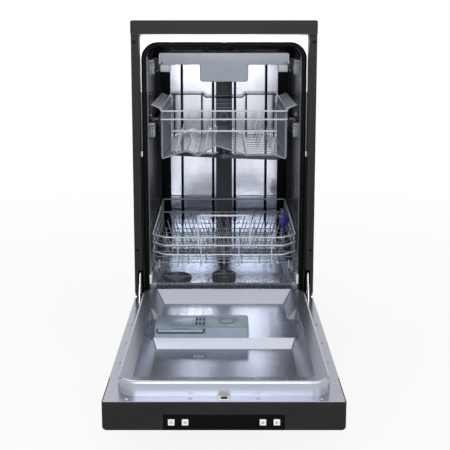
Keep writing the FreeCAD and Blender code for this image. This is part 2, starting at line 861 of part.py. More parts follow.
def basin_solid(grow):
    """The hollow of the basin: a bay that widens round the dispenser, and a deeper well at the near end."""
    lift = s.over_cut
    bay_run = s.bay_far_slope * (s.bay_depth + lift) / s.bay_depth
    far = s.basin_far_y + grow
    bay_low = s.bay_floor - grow
    top = s.plug_top + lift
    wide = s.basin_half + grow
    step = s.basin_slope
    corner = s.basin_corner
    bay_near = s.bay_near_y - s.bay_overlap
    bay_wide = wide - s.bay_inset
    throat_wide = bay_wide - s.bay_inset
    throat_floor = throat_wide - s.bay_throat_slope
    throat = taper(((-throat_floor, throat_floor), (bay_near, far - s.bay_far_slope), bay_low, corner),
                   ((-throat_wide, throat_wide), (bay_near, far - s.bay_far_slope + bay_run), top, corner))
    mouth_floor = bay_wide - s.bay_mouth_slope
    mouth_far = s.plug_far_y - s.bay_mouth + grow
    mouth = taper(((-mouth_floor, mouth_floor), (bay_near, mouth_far), bay_low, corner),
                  ((-bay_wide, bay_wide), (bay_near, mouth_far + s.bay_jog), top, corner))
    slope = s.well_slope / (s.well_depth - s.bay_depth)
    near_y = s.basin_near_y - grow
    deep = s.well_floor - grow
    rise = top - deep
    well_far = s.bay_near_y - s.well_slope + grow
    deep_step = step * s.well_depth / s.bay_depth
    well = taper(((-wide + deep_step, wide - deep_step), (near_y + step, well_far), deep, corner),
                 ((-wide, wide), (near_y, well_far + slope * rise), top, corner))
    return throat.fuse(mouth).fuse(well)


slab = solid_box((-s.half, s.half), (s.door_near, s.front), (s.flange_z - s.flange_thick, s.flange_z))
trim = s.half - s.fascia_wall / 2
for x in ((-s.half, -trim), (trim, s.half)):
    slab = slab.cut(solid_box(x, (s.door_near, s.panel_near), (s.flange_z - 2 * s.flange_thick,
                                                               s.flange_z + s.over_cut)))
sheet_gauge = s.flange_thick
pan_outer = basin_solid(sheet_gauge).common(
    solid_box((-s.half, s.half), (s.door_near, s.front), (s.door_low, s.plug_top - sheet_gauge / 2)))
plug_hollow = plug_solid(sheet_gauge, s.plug_top - sheet_gauge).common(
    solid_box((-s.half, s.half), (s.door_near, s.front), (s.flange_z - 2 * s.flange_thick, s.plug_top)))
pressing = slab.fuse(plug_solid(0, s.plug_top)).cut(plug_hollow).fuse(pan_outer).cut(basin_solid(0))
rim_gap = s.dispenser_rim
dispenser_hole = solid_box((-s.dispenser_left + rim_gap, s.dispenser_right - rim_gap),
                           (s.disp_near + rim_gap, s.disp_far - rim_gap),
                           (s.bay_floor - s.dispenser_rim, s.bay_floor + s.over_cut))
latch_hole = solid_box((-s.latch_half, s.latch_half),
                       (s.latch_y - s.latch_length / 2, s.latch_y + s.latch_length / 2),
                       (s.flange_z - 2 * s.flange_thick, s.flange_z + s.over_cut))
pressing = pressing.cut(dispenser_hole).cut(latch_hole)
arm_outer = s.arm_x + s.arm_thick
for sign in (-1, 1):
    x = sorted((sign * (s.arm_x - s.arm_side), sign * (arm_outer + s.arm_side)))
    pressing = pressing.cut(solid_box(x, (s.front - s.arm_slot_length, s.front + s.over_cut),
                                      (s.flange_z - 2 * s.flange_thick, s.flange_z + s.over_cut)))
form("inner_door_panel", pressing.removeSplitter())

# Control fascia: a moulded trough across the door's end, with a seat for the window and four button holes.
fascia = prism("fascia_block", "XZ", [
    ("-half", "door_low"), ("half", "door_low"), ("half", "flange_z"), ("-half", "flange_z"),
], "door_near", "panel_near")
round_edges(fascia, "door_corner", lambda edge: along(edge, "y") and near(edge.CenterOfMass.z, s.door_low))
hollow = block("fascia_hollow", ("fascia_wall / 2 - half", "half - fascia_wall / 2"),
               ("door_near + fascia_wall", "panel_near + over_cut"),
               ("door_low + fascia_wall / 2", "flange_z + over_cut"))
flange_seat = block("flange_seat", ("fascia_wall / 2 - half", "half - fascia_wall / 2"),
                    ("door_near - over_cut", "panel_near + over_cut"),
                    ("flange_z - flange_thick", "flange_z + over_cut"))
window_seat = block("window_seat", ("-window_half", "window_half"),
                    ("door_near - over_cut", "door_near + window_thick"),
                    ("window_low", "window_low + window_height"))
button_spots = [("left_outer", "-button_outer"), ("left_inner", "-button_inner"),
                ("right_inner", "button_inner"), ("right_outer", "button_outer")]
reach = "button_side / 2 + button_clear"


def button_holes(prefix):
    """Square holes for the four buttons."""
    return [block(f"{prefix}_{spot}", (f"{x} - ({reach})", f"{x} + {reach}"),
                  ("door_near - over_cut", "door_near + fascia_wall + over_cut"),
                  (f"button_z - ({reach})", f"button_z + {reach}"))
            for spot, x in button_spots]


node(cut("fascia", fascia, hollow, flange_seat, window_seat, *button_holes("fascia_hole")), "control_panel")
window = block("window_sheet", ("-window_half", "window_half"), ("door_near", "door_near + window_thick"),
               ("window_low", "window_low + window_height"))
node(cut("window", window, *button_holes("window_hole")), "display_window")
for spot, x in button_spots:
    node(block("button_" + spot, (f"{x} - button_side / 2", f"{x} + button_side / 2"),
               ("door_near - button_proud", "door_near - button_proud + button_depth"),
               ("button_z - button_side / 2", "button_z + button_side / 2")), spot + "_button")
board_near = "door_near - button_proud + button_depth + board_gap"
board_low = "door_low + fascia_wall / 2"
node(block("board", ("-window_half", "window_half"), (board_near, board_near + " + board_thick"),
           (board_low, board_low + " + board_height")), "control_board")

# Detergent dispenser: a moulded body let into the bay, with a hinged lid and a rinse-aid cap.
body_x = ("-dispenser_left", "dispenser_right")
body_y = ("disp_near", "disp_far")
dispenser_top = block("dispenser_top", body_x, body_y, ("bay_floor", "plug_top"))
sunk = "dispenser_rim + dispenser_clear"
dispenser_deep = block("dispenser_deep", (f"-dispenser_left + {sunk}", f"dispenser_right - ({sunk})"),
                       (f"disp_near + {sunk}", f"disp_far - ({sunk})"),
                       ("bay_floor - dispenser_sink", "bay_floor + over_cut"))
lid_x = ("-dispenser_left + lid_border", "-dispenser_split - lid_border")
lid_y = ("disp_near + lid_setback", "disp_far - lid_setback")
bed_x = (lid_x[0] + " - lid_clear", lid_x[1] + " + lid_clear")
lid_bed = block("lid_bed", bed_x, ("disp_near - over_cut", "disp_far + over_cut"),
                ("plug_top - lid_thick - lid_clear", "plug_top + over_cut"))
pin_relief = block("pin_relief", bed_x, ("disp_far - lid_relief", "disp_far + over_cut"),
                   ("plug_top - 2.5 * lid_thick", "plug_top"))
powder_well = block("powder_well", ("-dispenser_left + well_border", "-dispenser_split - well_border"),
                    ("disp_near + well_border", "disp_far - well_setback"),
                    ("bay_floor - dispenser_sink + well_base", "plug_top"))
lid_axis = ("disp_far - lid_pin_setback", "plug_top - lid_thick / 2")
pin_ends = ("-dispenser_left + lid_pin_inset", "-dispenser_split - lid_pin_inset")
pin_hole = rod("lid_pin_hole", "x", "lid_pin_radius + pin_clearance", lid_axis,
               pin_ends[0] + " - lid_pin_play", pin_ends[1] + " + lid_pin_play")
cap_at = ("(dispenser_right - dispenser_split) / 2", "(disp_near + disp_far) / 2")
cap_seat = rod("cap_seat", "z", "rinse_cap_radius + run_gap", cap_at, "plug_top - rinse_cap_depth",
               "plug_top + over_cut")
node(cut("dispenser", fuse("dispenser_block", dispenser_top, dispenser_deep),
         lid_bed, pin_relief, powder_well, pin_hole, cap_seat), "dispenser_body")
lid_plate = block("lid_plate", lid_x, lid_y, ("plug_top - lid_thick", "plug_top"))
lid_pin = rod("lid_pin", "x", "lid_pin_radius", lid_axis, *pin_ends)
finger_slot = block("finger_slot", ("-dispenser_left + finger_start", "-dispenser_left + finger_end"),
                    ("disp_near", "disp_near + finger_depth"),
                    ("plug_top - lid_thick - over_cut", "plug_top - lid_thick + finger_height"))
node(cut("lid", fuse("lid_block", lid_plate, lid_pin), finger_slot), "dispenser_lid")
cap_disc = rod("cap_disc", "z", "rinse_cap_radius", cap_at, "plug_top - rinse_cap_depth + run_gap",
               "plug_top + rinse_cap_proud")
cap_grips = [block(f"cap_grip_{index}", (f"{cap_at[0]} - rinse_grip_half",
                                         f"{cap_at[0]} + rinse_grip_half"),
                   (f"{cap_at[1]} {place} - rinse_grip_width / 2",
                    f"{cap_at[1]} {place} + rinse_grip_width / 2"),
                   ("plug_top - rinse_grip_depth", "plug_top + over_cut"))
             for index, place in enumerate(("- rinse_grip_offset", "+ rinse_grip_offset"))]
node(cut("rinse_cap", cap_disc, *cap_grips), "rinse_aid_cap")

# Door latch in the flange, and the strike that it takes on the tub's front.
latch_low = "flange_z - latch_depth"
latch_ends = ("latch_y - latch_length / 2 + latch_clear", "latch_y + latch_length / 2 - latch_clear")
latch_case = block("latch_case", ("-latch_half + latch_clear", "latch_half - latch_clear"), latch_ends,
                   (latch_low, "flange_z + latch_proud"))
latch_wings = block("latch_wings", ("-2 * latch_half", "2 * latch_half"), latch_ends,
                    (latch_low, "flange_z - flange_thick"))
latch_slot = block("latch_slot", ("-latch_slot_half", "latch_slot_half"),
                   ("latch_y - strike_thick / 2 - latch_slot_side",
                    "latch_y + strike_thick / 2 + latch_slot_side"),
                   ("flange_z - strike_reach - latch_slot_spare", "flange_z + latch_proud + over_cut"))
node(cut("latch", fuse("latch_body", latch_case, latch_wings), latch_slot), "door_latch")
node(block("strike", ("-strike_half", "strike_half"), ("front - strike_reach", "mouth_y - tub_sheet"),
           ("strike_height - strike_thick / 2", "strike_height + strike_thick / 2")), "latch_strike")

# Screws along the door flange.
door_heads = []
screw_x = (s.plug_half + s.half) / 2 + s.door_screw_shift
screw_y = s.front - s.door_screw_start
count = int((screw_y - s.panel_near) / s.door_screw_step)
for sign in (-1, 1):
    for i in range(count + 1):
        at = Vector(sign * screw_x, screw_y - i * s.door_screw_step, s.flange_z)
        door_heads.append(Part.makeCylinder(s.door_screw_radius, s.door_screw_head, at))
    for x in (0.28 * s.half, 0.8 * s.half):
        at = Vector(sign * x, s.door_near + s.plug_near_border * 0.45, s.flange_z)
        door_heads.append(Part.makeCylinder(s.door_screw_radius, s.door_screw_head, at))
form("door_screws", Part.makeCompound(door_heads))

# Hinges: an arm on each side of the door turns on a pin riveted to a bracket on the cabinet.
arms = []
brackets = []
eye = s.hinge_eye
tip = s.hinge_height + s.arm_rise
door_root = s.flange_z - s.flange_thick
arm_outline = [
    (s.front - s.arm_root, door_root - s.arm_web), (s.front - s.arm_root, door_root - s.arm_drop),
    (s.front - s.arm_knee, door_root - s.arm_drop / 2), (s.front - s.arm_drop, tip),
    (s.hinge_y - s.arm_drop / 2, tip), (s.hinge_y + eye, s.hinge_height + s.arm_clear),
    (s.hinge_y + eye, s.hinge_height - s.arm_clear), (s.hinge_y - s.arm_drop, s.hinge_height - eye),
    (s.front - s.arm_heel, door_root - s.arm_web),
]
inner = arm_outer + s.bracket_gap
bracket_end = s.front + s.bracket_reach
bracket_z = (s.hinge_height - eye, s.hinge_height + eye)
for sign in (-1, 1):
    x = sorted((sign * s.arm_x, sign * arm_outer))
    face = Part.Face(Part.makePolygon([Vector(x[0], y, z) for y, z in arm_outline + arm_outline[:1]]))
    arm = face.extrude(Vector(s.arm_thick, 0, 0))
    seat_x = sorted((sign * s.arm_x, sign * (s.half - s.door_skin)))
    arm = arm.fuse(solid_box(seat_x, (s.front - s.arm_seat_start, s.front - s.arm_seat_end),
                             (door_root - s.arm_seat_thick, door_root)))
    bore = Part.makeCylinder(s.hinge_pin_radius + s.pin_clearance, s.arm_thick + 2 * s.over_cut,
                             Vector(x[0] - s.over_cut, s.hinge_y, s.hinge_height), Vector(1, 0, 0))
    arms.append(arm.cut(bore))
    plate_x = sorted((sign * inner, sign * (inner + s.bracket_thick)))
    plate = solid_box(plate_x, (s.hinge_y - eye, bracket_end), bracket_z)
    foot_x = sorted((sign * inner, sign * (s.half - s.sheet)))
    foot = solid_box(foot_x, (bracket_end - s.bracket_foot, bracket_end), bracket_z)
    pin_x = sorted((sign * (s.arm_x - s.arm_side), sign * (inner + s.bracket_thick)))
    pin = Part.makeCylinder(s.hinge_pin_radius, pin_x[1] - pin_x[0],
                            Vector(pin_x[0], s.hinge_y, s.hinge_height),
                            Vector(1, 0, 0))
    brackets.append(plate.fuse([foot, pin]).removeSplitter())
form("hinge_arms", Part.makeCompound(arms))
form("hinge_brackets", Part.makeCompound(brackets))

# Balance springs of the door, lying along the base tray on a seat at each end.
springs = []
for sign in (-1, 1):
    x = sign * (s.half - s.sheet - s.base_wall - s.spring_radius)
    z = s.base_height + s.base_wall + s.spring_radius
    start = bracket_end + s.spring_start
    springs.append(Part.makeCylinder(s.spring_radius, s.spring_length, Vector(x, start, z),
                                     Vector(0, 1, 0)))
form("balance_springs", Part.makeCompound(springs))

# Sump under the floor, with the filter plate and the filter cup that turns in it.
sump_axis = ("0", "sump_at")
floor_under = "floor_level - tub_sheet"
sump_cup = rod("sump_cup", "z", "sump_radius", sump_axis, "floor_level - sump_depth", floor_under)
sump_hollow = rod("sump_hollow", "z", "sump_radius - sump_wall", sump_axis,
                  "floor_level - sump_depth + sump_wall", "floor_level + over_cut")
node(cut("sump_shell", sump_cup, sump_hollow), "sump")
plate_disc = rod("plate_disc", "z", "plate_radius", sump_axis, "floor_level", "floor_level + plate_thick")
plate_bore = rod("plate_bore", "z", "filter_radius - plate_thick", sump_axis, "floor_level - over_cut",
                 "floor_level + plate_thick + over_cut")
node(cut("plate_ring", plate_disc, plate_bore), "filter_plate")
cup_low = "floor_level - sump_depth + sump_wall + filter_gap"
cup_barrel = rod("cup_barrel", "z", "filter_radius - filter_wall", sump_axis, cup_low,
                 "floor_level + plate_thick + over_cut")
cup_head = rod("cup_head", "z", "filter_radius", sump_axis, "floor_level + plate_thick + run_gap",
               "floor_level + filter_height")
cup_well = rod("cup_well", "z", "filter_radius - 2 * filter_wall", sump_axis, cup_low + " + filter_wall",
               "floor_level + filter_height + over_cut")
cup_grip = block("cup_grip", ("-filter_radius + filter_wall", "filter_radius - filter_wall"),
                 ("sump_at - filter_grip_half", "sump_at + filter_grip_half"),
                 ("floor_level + filter_grip_low", "floor_level + filter_height"))
node(fuse("filter", cut("cup_shell", fuse("cup_solid", cup_barrel, cup_head), cup_well), cup_grip),
     "filter_cup")

# Water softener: the salt tank under the floor, its neck through the floor, and the screw cap.
tank_axis = ("-salt_x", "salt_at")
tank_high = "floor_level - tank_drop"
neck_top = "floor_level + neck_wall"
tank = block("tank", ("-salt_x - tank_width / 2", "-salt_x + tank_width / 2"),
             ("salt_at - tank_front", "salt_at - tank_front + tank_length"),
             (tank_high + " - tank_height", tank_high))
neck = rod("neck", "z", "salt_neck_radius", tank_axis, tank_high + " - over_cut", "floor_level + over_cut")
neck_flange = rod("neck_flange", "z", "salt_neck_radius + neck_wall", tank_axis, "floor_level", neck_top)
neck_bore = rod("neck_bore", "z", "salt_neck_radius - neck_wall", tank_axis,
                tank_high + " - tank_height + tank_base",
                neck_top + " + over_cut")
node(cut("softener", fuse("softener_block", tank, neck, neck_flange), neck_bore), "salt_tank")
cap_low = neck_top + " + run_gap"
cap_top = cap_low + " + salt_cap_height"
salt_disc = rod("salt_disc", "z", "salt_cap_radius", tank_axis, cap_low, cap_top)
salt_skirt = rod("salt_skirt", "z", "salt_neck_radius - neck_wall - run_gap", tank_axis,
                 "floor_level - cap_skirt",
                 cap_low + " + over_cut")
salt_grips = [block(f"salt_grip_{index}", ("-salt_x - salt_cap_radius", "-salt_x + salt_cap_radius"), span,
                    (cap_top + " - cap_grip_depth", cap_top + " + over_cut"))
              for index, span in enumerate((("salt_at - salt_cap_radius", "salt_at - cap_grip_half"),
                                            ("salt_at + cap_grip_half", "salt_at + salt_cap_radius")))]
salt_ring = rod("salt_ring", "z", "salt_cap_radius - cap_rim", tank_axis,
                cap_top + " - cap_grip_depth - over_cut",
                cap_top + " + 2 * over_cut")
salt_dish = fuse("salt_dish", *salt_grips)
salt_carve = doc.addObject("Part::MultiCommon", "salt_carve")
salt_carve.Shapes = [salt_dish, salt_ring]
node(cut("salt_top", fuse("salt_block", salt_disc, salt_skirt), salt_carve), "salt_cap")

# Feed pipe on the back wall, with two ports that the upper arm's tube docks in.
pipe_face = "tub_end - pipe_thick"
pipe_duct = block("pipe_duct", ("-pipe_width / 2", "pipe_width / 2"), (pipe_face, "tub_end"),
                  ("floor_level", "pipe_top"))
ports = []
bores = []
for name, height in (("low", "port_low"), ("high", "port_high")):
    ports.append(rod(f"port_{name}", "y", "port_radius", ("0", height), pipe_face + " - port_length",
                     pipe_face))
    bores.append(rod(f"port_bore_{name}", "y", "feed_tube_radius - port_lip", ("0", height),
                     pipe_face + " - port_length - over_cut", pipe_face + " + port_depth"))
roof_pipe = block("roof_pipe", ("-pipe_width / 4", "pipe_width / 4"), ("arm_at", "tub_end"),
                  ("roof_height - roof_pipe", "roof_height"))
pipe_riser = block("pipe_riser", ("-pipe_width / 4", "pipe_width / 4"), (pipe_face, "tub_end"),
                   ("pipe_top - over_cut", "roof_height"))
pipe = cut("pipe", fuse("pipe_block", pipe_duct, roof_pipe, pipe_riser, *ports), *bores)
sprinkler = rod("sprinkler", "z", "sprinkler_radius", ("0", "arm_at"),
                "roof_height - roof_pipe - sprinkler_drop",
                "roof_height - roof_pipe")
node(group("feed_group", pipe, sprinkler), "feed_pipe")


def spray_arm(name, half_length, level, hub_low):
    """A moulded spray arm: a flat bar that narrows to its tips, on a round hub that drops to its bearing."""
    bar = prism(name + "_bar", "XY", [
        (f"-{half_length}", "arm_at - spray_tip"), ("-spray_hub", "arm_at - spray_hub + spray_waist"),
        ("spray_hub", "arm_at - spray_hub + spray_waist"), (half_length, "arm_at - spray_tip"),
        (half_length, "arm_at + spray_tip"), ("spray_hub", "arm_at + spray_hub - spray_waist"),
        ("-spray_hub", "arm_at + spray_hub - spray_waist"), (f"-{half_length}", "arm_at + spray_tip"),
    ], level, f"{level} + spray_thick")
    round_edges(bar, "spray_thick * 0.8",
                lambda edge: along(edge, "z") and abs(edge.CenterOfMass.x) > s.spray_hub + s.spray_rise)
    hub = rod(name + "_hub", "z", "spray_hub", ("0", "arm_at"), hub_low,
              f"{level} + spray_thick + spray_rise")
    return fuse(name + "_solid", bar, hub)


# Lower spray arm on its bearing post, which rises from the pump's delivery pipe.
post_top = "lower_arm_level + post_rise"
lower_solid = spray_arm("lower_arm", "lower_arm_half", "lower_arm_level", "lower_arm_level - spray_drop")
lower_bore = rod("lower_bore", "z", "feed_tube_radius + pin_clearance", ("0", "arm_at"),
                 "lower_arm_level - spray_drop - over_cut", post_top + " + run_gap")
node(cut("lower_arm", lower_solid, lower_bore), "lower_spray_arm")

# Upper spray arm hung under the upper basket on its feed tube.
upper_top = "upper_arm_level + spray_thick"
upper_solid = spray_arm("upper_arm", "upper_arm_half", "upper_arm_level", "upper_arm_level - spray_rise")
upper_bore = rod("upper_bore", "z", "feed_tube_radius + pin_clearance", ("0", "arm_at"),
                 upper_top + " - bore_depth",
                 upper_top + " + spray_rise + over_cut")
upper_arm = cut("upper_arm", upper_solid, upper_bore)
turn = FreeCAD.Rotation(Vector(0, 0, 1), s.upper_arm_turn)
upper_arm.Placement = FreeCAD.Placement(Vector(), turn, Vector(0, s.arm_at, 0))
node(upper_arm, "upper_spray_arm")
tube_drop = rod("tube_drop", "z", "feed_tube_radius", ("0", "arm_at"),
                upper_top + " - bore_depth + run_gap", "port_low")
tube_run = rod("tube_run", "y", "feed_tube_radius", ("0", "port_low"), "arm_at - feed_tube_radius",
               pipe_face + " - port_length - run_gap")
node(fuse("tube", tube_drop, tube_run), "spray_feed_tube")

# Pumps in the base, and the delivery pipe that ends in the lower arm's bearing post.
base_floor = "base_height + base_wall"
pump_axis = ("pump_x", base_floor + " + pump_radius + pump_lift")
pump_near = "arm_at - pump_start"
pump_barrel = rod("pump_barrel", "y", "pump_radius", pump_axis, pump_near, pump_near + " + pump_length")
foot_near = "arm_at - pump_foot_start"
pump_foot = block("pump_foot", ("pump_x - pump_foot_half", "pump_x + pump_foot_half"),
                  (foot_near, foot_near + " + pump_foot_length"),
                  (base_floor, base_floor + " + pump_foot_height"))
arm_z = "floor_level - pump_arm_drop"
pump_arm = rod("pump_arm", "x", "feed_tube_radius", ("arm_at", arm_z), "0", "pump_x")
pump_post = rod("pump_post", "z", "feed_tube_radius", ("0", "arm_at"), arm_z + " - feed_tube_radius",
                post_top)
node(fuse("pump", pump_barrel, pump_foot, pump_arm, pump_post), "circulation_pump")
node(rod("drain", "x", "drain_radius", ("sump_at", "floor_level - sump_depth / 2 - drain_drop"),
         "sump_radius",
         "sump_radius + drain_length"), "drain_pump")

# Water and mains connections on the base tray's rear wall.
flange_rise = ("service_height - valve_rise", "service_height + valve_rise")
collar_span = (wall_in + " - collar_proud", wall_out + " + collar_proud")
valve_at = ("service_x", "service_height")
valve_case = block("valve_case", ("service_x - valve_half", "service_x + valve_half"),
                   (wall_in + " - valve_depth", wall_in), flange_rise)
valve_port = rod("valve_port", "y", "inlet_radius", valve_at, wall_in, wall_out + " + inlet_length")
valve_collar = rod("valve_collar", "y", "inlet_radius + collar_step", valve_at, *collar_span)
inlet_valve = fuse("valve", valve_case, valve_port, valve_collar)
drain_at = ("outlet_x", "service_height")
drain_flange = block("drain_flange", ("outlet_x - valve_rise", "outlet_x + valve_rise"),
                     (wall_in + " - drain_flange", wall_in), flange_rise)
drain_port = rod("drain_port", "y", "outlet_radius", drain_at, wall_in,
                 wall_out + " + inlet_length + outlet_extra")
drain_collar = rod("drain_collar", "y", "outlet_radius + collar_step", drain_at, *collar_span)
drain_outlet = fuse("drain_spout", drain_flange, drain_port, drain_collar)
box_at = ("-service_x", "service_height")
box_case = block("box_case", ("-service_x - box_half", "-service_x + box_half"),
                 (wall_in + " - box_depth", wall_in),
                 ("service_height - box_rise", "service_height + box_rise"))
box_neck = rod("box_neck", "y", "gland_radius + gland_wall", box_at, wall_in + " - over_cut",
               wall_out + " + gland_length")
box_bore = rod("box_bore", "y", "gland_radius", box_at, wall_in + " - gland_length",
               wall_out + " + gland_length + over_cut")
terminal_box = cut("terminal", fuse("terminal_block", box_case, box_neck), box_bore)
node(group("service_group", inlet_valve, drain_outlet, terminal_box), "service_connections")

# Rails for the tray and the upper basket: channels that run in guides on the tub's sides, with end caps.
def channel(sign, height):
    """A C-shaped rail, open towards the middle of the tub."""
    low = (f"({height}) - rail_height / 2", f"({height}) + rail_height / 2")
    span = ("rail_start", "rail_start + rail_length")
    name = f"{height}_{'right' if sign > 0 else 'left'}"
    whole = block("rail_" + name, across(sign, "rail_inner", "rail_outer"), span, low)
    space = block("rail_space_" + name, across(sign, "rail_inner - over_cut", "rail_outer - rail_sheet"),
                  ("rail_start - over_cut", "rail_start + rail_length + over_cut"),
                  (low[0] + " + rail_sheet", low[1] + " - rail_sheet"))
    return cut("channel_" + name, whole, space)


def guide(sign, height, place):
    """A guide on the tub's side that holds a rail above, below and behind."""
    name = f"{height}_{place}_{'right' if sign > 0 else 'left'}"
    start = f"rail_start + {place}"
    deep = "run_gap + rail_height / 2"
    whole = block("guide_" + name, across(sign, "rail_inner + guide_setback", "tub_half"),
                  (start, start + " + guide_length"),
                  (f"{height} - ({deep} + guide_lip)", f"{height} + {deep} + guide_lip"))
    space = block("guide_space_" + name, across(sign, "rail_inner + guide_setback - over_cut",
                                                "rail_outer + run_gap"),
                  (start + " - over_cut", start + " + guide_length + over_cut"),
                  (f"{height} - ({deep})", f"{height} + {deep}"))
    return cut("guide_cut_" + name, whole, space)


guides = []
for label, height in (("tray", "tray_rail"), ("basket", "basket_rail")):
    rails = [channel(sign, height) for sign in (-1, 1)]
    cap_z = (f"{height} - rail_height / 2", f"{height} + rail_height / 2")
    caps = [block(f"{label}_cap_{index}", across(sign, "rail_inner", "rail_outer"),
                  ("rail_start - rail_cap", "rail_start"), cap_z)
            for index, sign in enumerate((-1, 1))]
    node(group(label + "_rail_group", *rails, *caps), label + "_rails")
    guides += [guide(sign, height, place) for sign in (-1, 1) for place in ("guide_first", "guide_second")]
node(group("guide_group", *guides), "rail_guides")


def shoes(half_width, height):
    """Runners on both sides of a tray or basket that ride inside its rails."""
    found = []
    for sign in (-1, 1):
        for start in (s.shoe_first, s.shoe_second):
            x = sorted((sign * half_width, sign * (s.rail_outer - s.rail_sheet - s.run_gap)))
            deep = s.rail_height / 2 - s.rail_sheet - s.run_gap
            found.append(solid_box(x, (s.rail_start + start, s.rail_start + start + s.shoe_length),
                                   (height - deep, height + deep)))
    return found


# Cutlery tray: a slotted floor with walls and dividers, carried by four shoes.
tray_floor = s.tray_floor
tray_near = s.tray_y + s.bar_thick
tray_end = s.tray_y + s.tray_length
half_bar = s.tray_wall / 2
slots = grid(Vector(0, 0, tray_floor + half_bar), Vector(1, 0, 0), Vector(0, 1, 0),
             lines(-s.tray_half + half_bar, s.tray_half - half_bar, s.tray_slot_pitch),
             lines(tray_near + half_bar, tray_end - half_bar, s.tray_slot_length), s.tray_wall, s.tray_wall)
wall_top = tray_floor + s.tray_height
tray_walls = []
for x in (half_bar - s.tray_half, -s.tray_half / 3, s.tray_half / 3, s.tray_half - half_bar):
    tray_walls.append(solid_box((x - half_bar, x + half_bar), (tray_near, tray_end),
                                (tray_floor, wall_top)))
for y in (tray_near, tray_end - s.tray_wall):
    tray_walls.append(solid_box((-s.tray_half, s.tray_half), (y, y + s.tray_wall), (tray_floor, wall_top)))
tray = slots.fuse(tray_walls + shoes(s.tray_half - s.tray_wall, s.tray_rail))
form("cutlery_tray", tray.removeSplitter())

# Front bar of the tray with its drop handle.
front_bar = prism("front_bar", "XZ", [
    ("-tray_half", "tray_floor + bar_corner"), ("bar_corner - tray_half", "tray_floor"),
    ("-grip_half", "tray_floor"),
    ("-grip_half", "tray_floor - grip_drop"), ("grip_half", "tray_floor - grip_drop"),
    ("grip_half", "tray_floor"),
    ("tray_half - bar_corner", "tray_floor"), ("tray_half", "tray_floor + bar_corner"),
    ("tray_half", "tray_floor + bar_height"), ("-tray_half", "tray_floor + bar_height"),
], "tray_y", "tray_y + bar_thick")
round_edges(front_bar, "grip_corner", lambda edge: along(edge, "y")
            and near(edge.CenterOfMass.z, s.tray_floor - s.grip_drop))
node(front_bar, "cutlery_tray_front")

# Upper basket: flat wire panels welded together over a floor folded into ridges.
across_x = Vector(1, 0, 0)
into_y = Vector(0, 1, 0)
up_z = Vector(0, 0, 1)
wire = s.wire
half_wire = wire / 2
u_half = s.upper_half - half_wire
front_rows = [s.upper_floor, s.upper_wire_three, s.upper_wire_two, s.upper_rim]
upper = []
rear_rows = [s.port_low + 2 * s.port_radius, s.upper_wire_two, s.upper_rim + s.rear_rise]
right_bars = [s.upper_bar_inner, s.upper_bar_outer, u_half]
front_bars = [-x for x in reversed(right_bars)] + right_bars
upper.append(grid(Vector(0, s.upper_y + half_wire, 0), across_x, up_z, front_bars, front_rows, wire, wire))
upper.append(grid(Vector(0, s.upper_end - half_wire, 0), across_x, up_z,
                  lines(-u_half, u_half, s.upper_pitch),
                  rear_rows, wire, wire))
depth_lines = lines(s.upper_y + wire + half_wire, s.upper_end - wire - half_wire, s.upper_pitch)
for x in (-u_half, u_half):
    upper.append(grid(Vector(x, 0, 0), into_y, up_z, depth_lines, front_rows, wire, wire))
ridge = [(-1, 0), (-0.6, 20), (-0.43, 5), (-0.14, 33), (0.36, 8), (0.8, 9), (1, 0)]
floor_half = s.upper_half - wire - half_wire - s.run_gap
for (x0, z0), (x1, z1) in zip(ridge, ridge[1:]):
    start = Vector(x0 * floor_half, 0, s.upper_floor + z0)
    run = Vector((x1 - x0) * floor_half, 0, z1 - z0)
    slope = Vector(run).normalize()
    inset = half_wire + s.fold_gap
    upper.append(grid(start, slope, into_y, lines(inset, run.Length - inset, s.upper_pitch), depth_lines,
                      wire, wire))
upper += shoes(s.upper_half, s.basket_rail)
form("upper_basket", Part.makeCompound(upper))

# Perforated plastic plates inside the upper basket's sides.
plate_x = s.upper_half - wire
plates = []
for sign in (-1, 1):
    plates.append(grid(Vector(sign * (plate_x - s.side_plate_thick / 2), 0, 0), into_y, up_z,
                       lines(s.upper_y + wire + s.side_plate_setback, s.upper_y + s.side_plate_reach,
                             s.side_plate_step),
                       lines(s.upper_floor + s.side_plate_foot, s.upper_wire_two - s.side_plate_drop,
                             s.side_plate_rise),
                       s.side_plate_bar, s.side_plate_thick))
form("basket_side_plates", Part.makeCompound(plates))

# Folding cup shelves, leaning out from the rim on each side.
for side, sign in (("left", -1), ("right", 1)):
    hinge_x = s.upper_half - half_wire
    pivot_z = s.upper_rim + half_wire + s.run_gap + s.shelf_thick
    shelf_y = s.upper_y + s.shelf_start
    shelf = solid_box((-s.shelf_thick / 2, s.shelf_thick / 2), (shelf_y, shelf_y + s.shelf_length),
                      (0, s.shelf_width))
    barrel = Part.makeCylinder(s.shelf_thick, s.shelf_length, Vector(0, shelf_y, 0), into_y)
    shelf = shelf.fuse(barrel).removeSplitter()
    form(side + "_cup_shelf", shelf,
         FreeCAD.Placement(Vector(sign * hinge_x, 0, pivot_z),
                           FreeCAD.Rotation(into_y, sign * s.shelf_lean)))

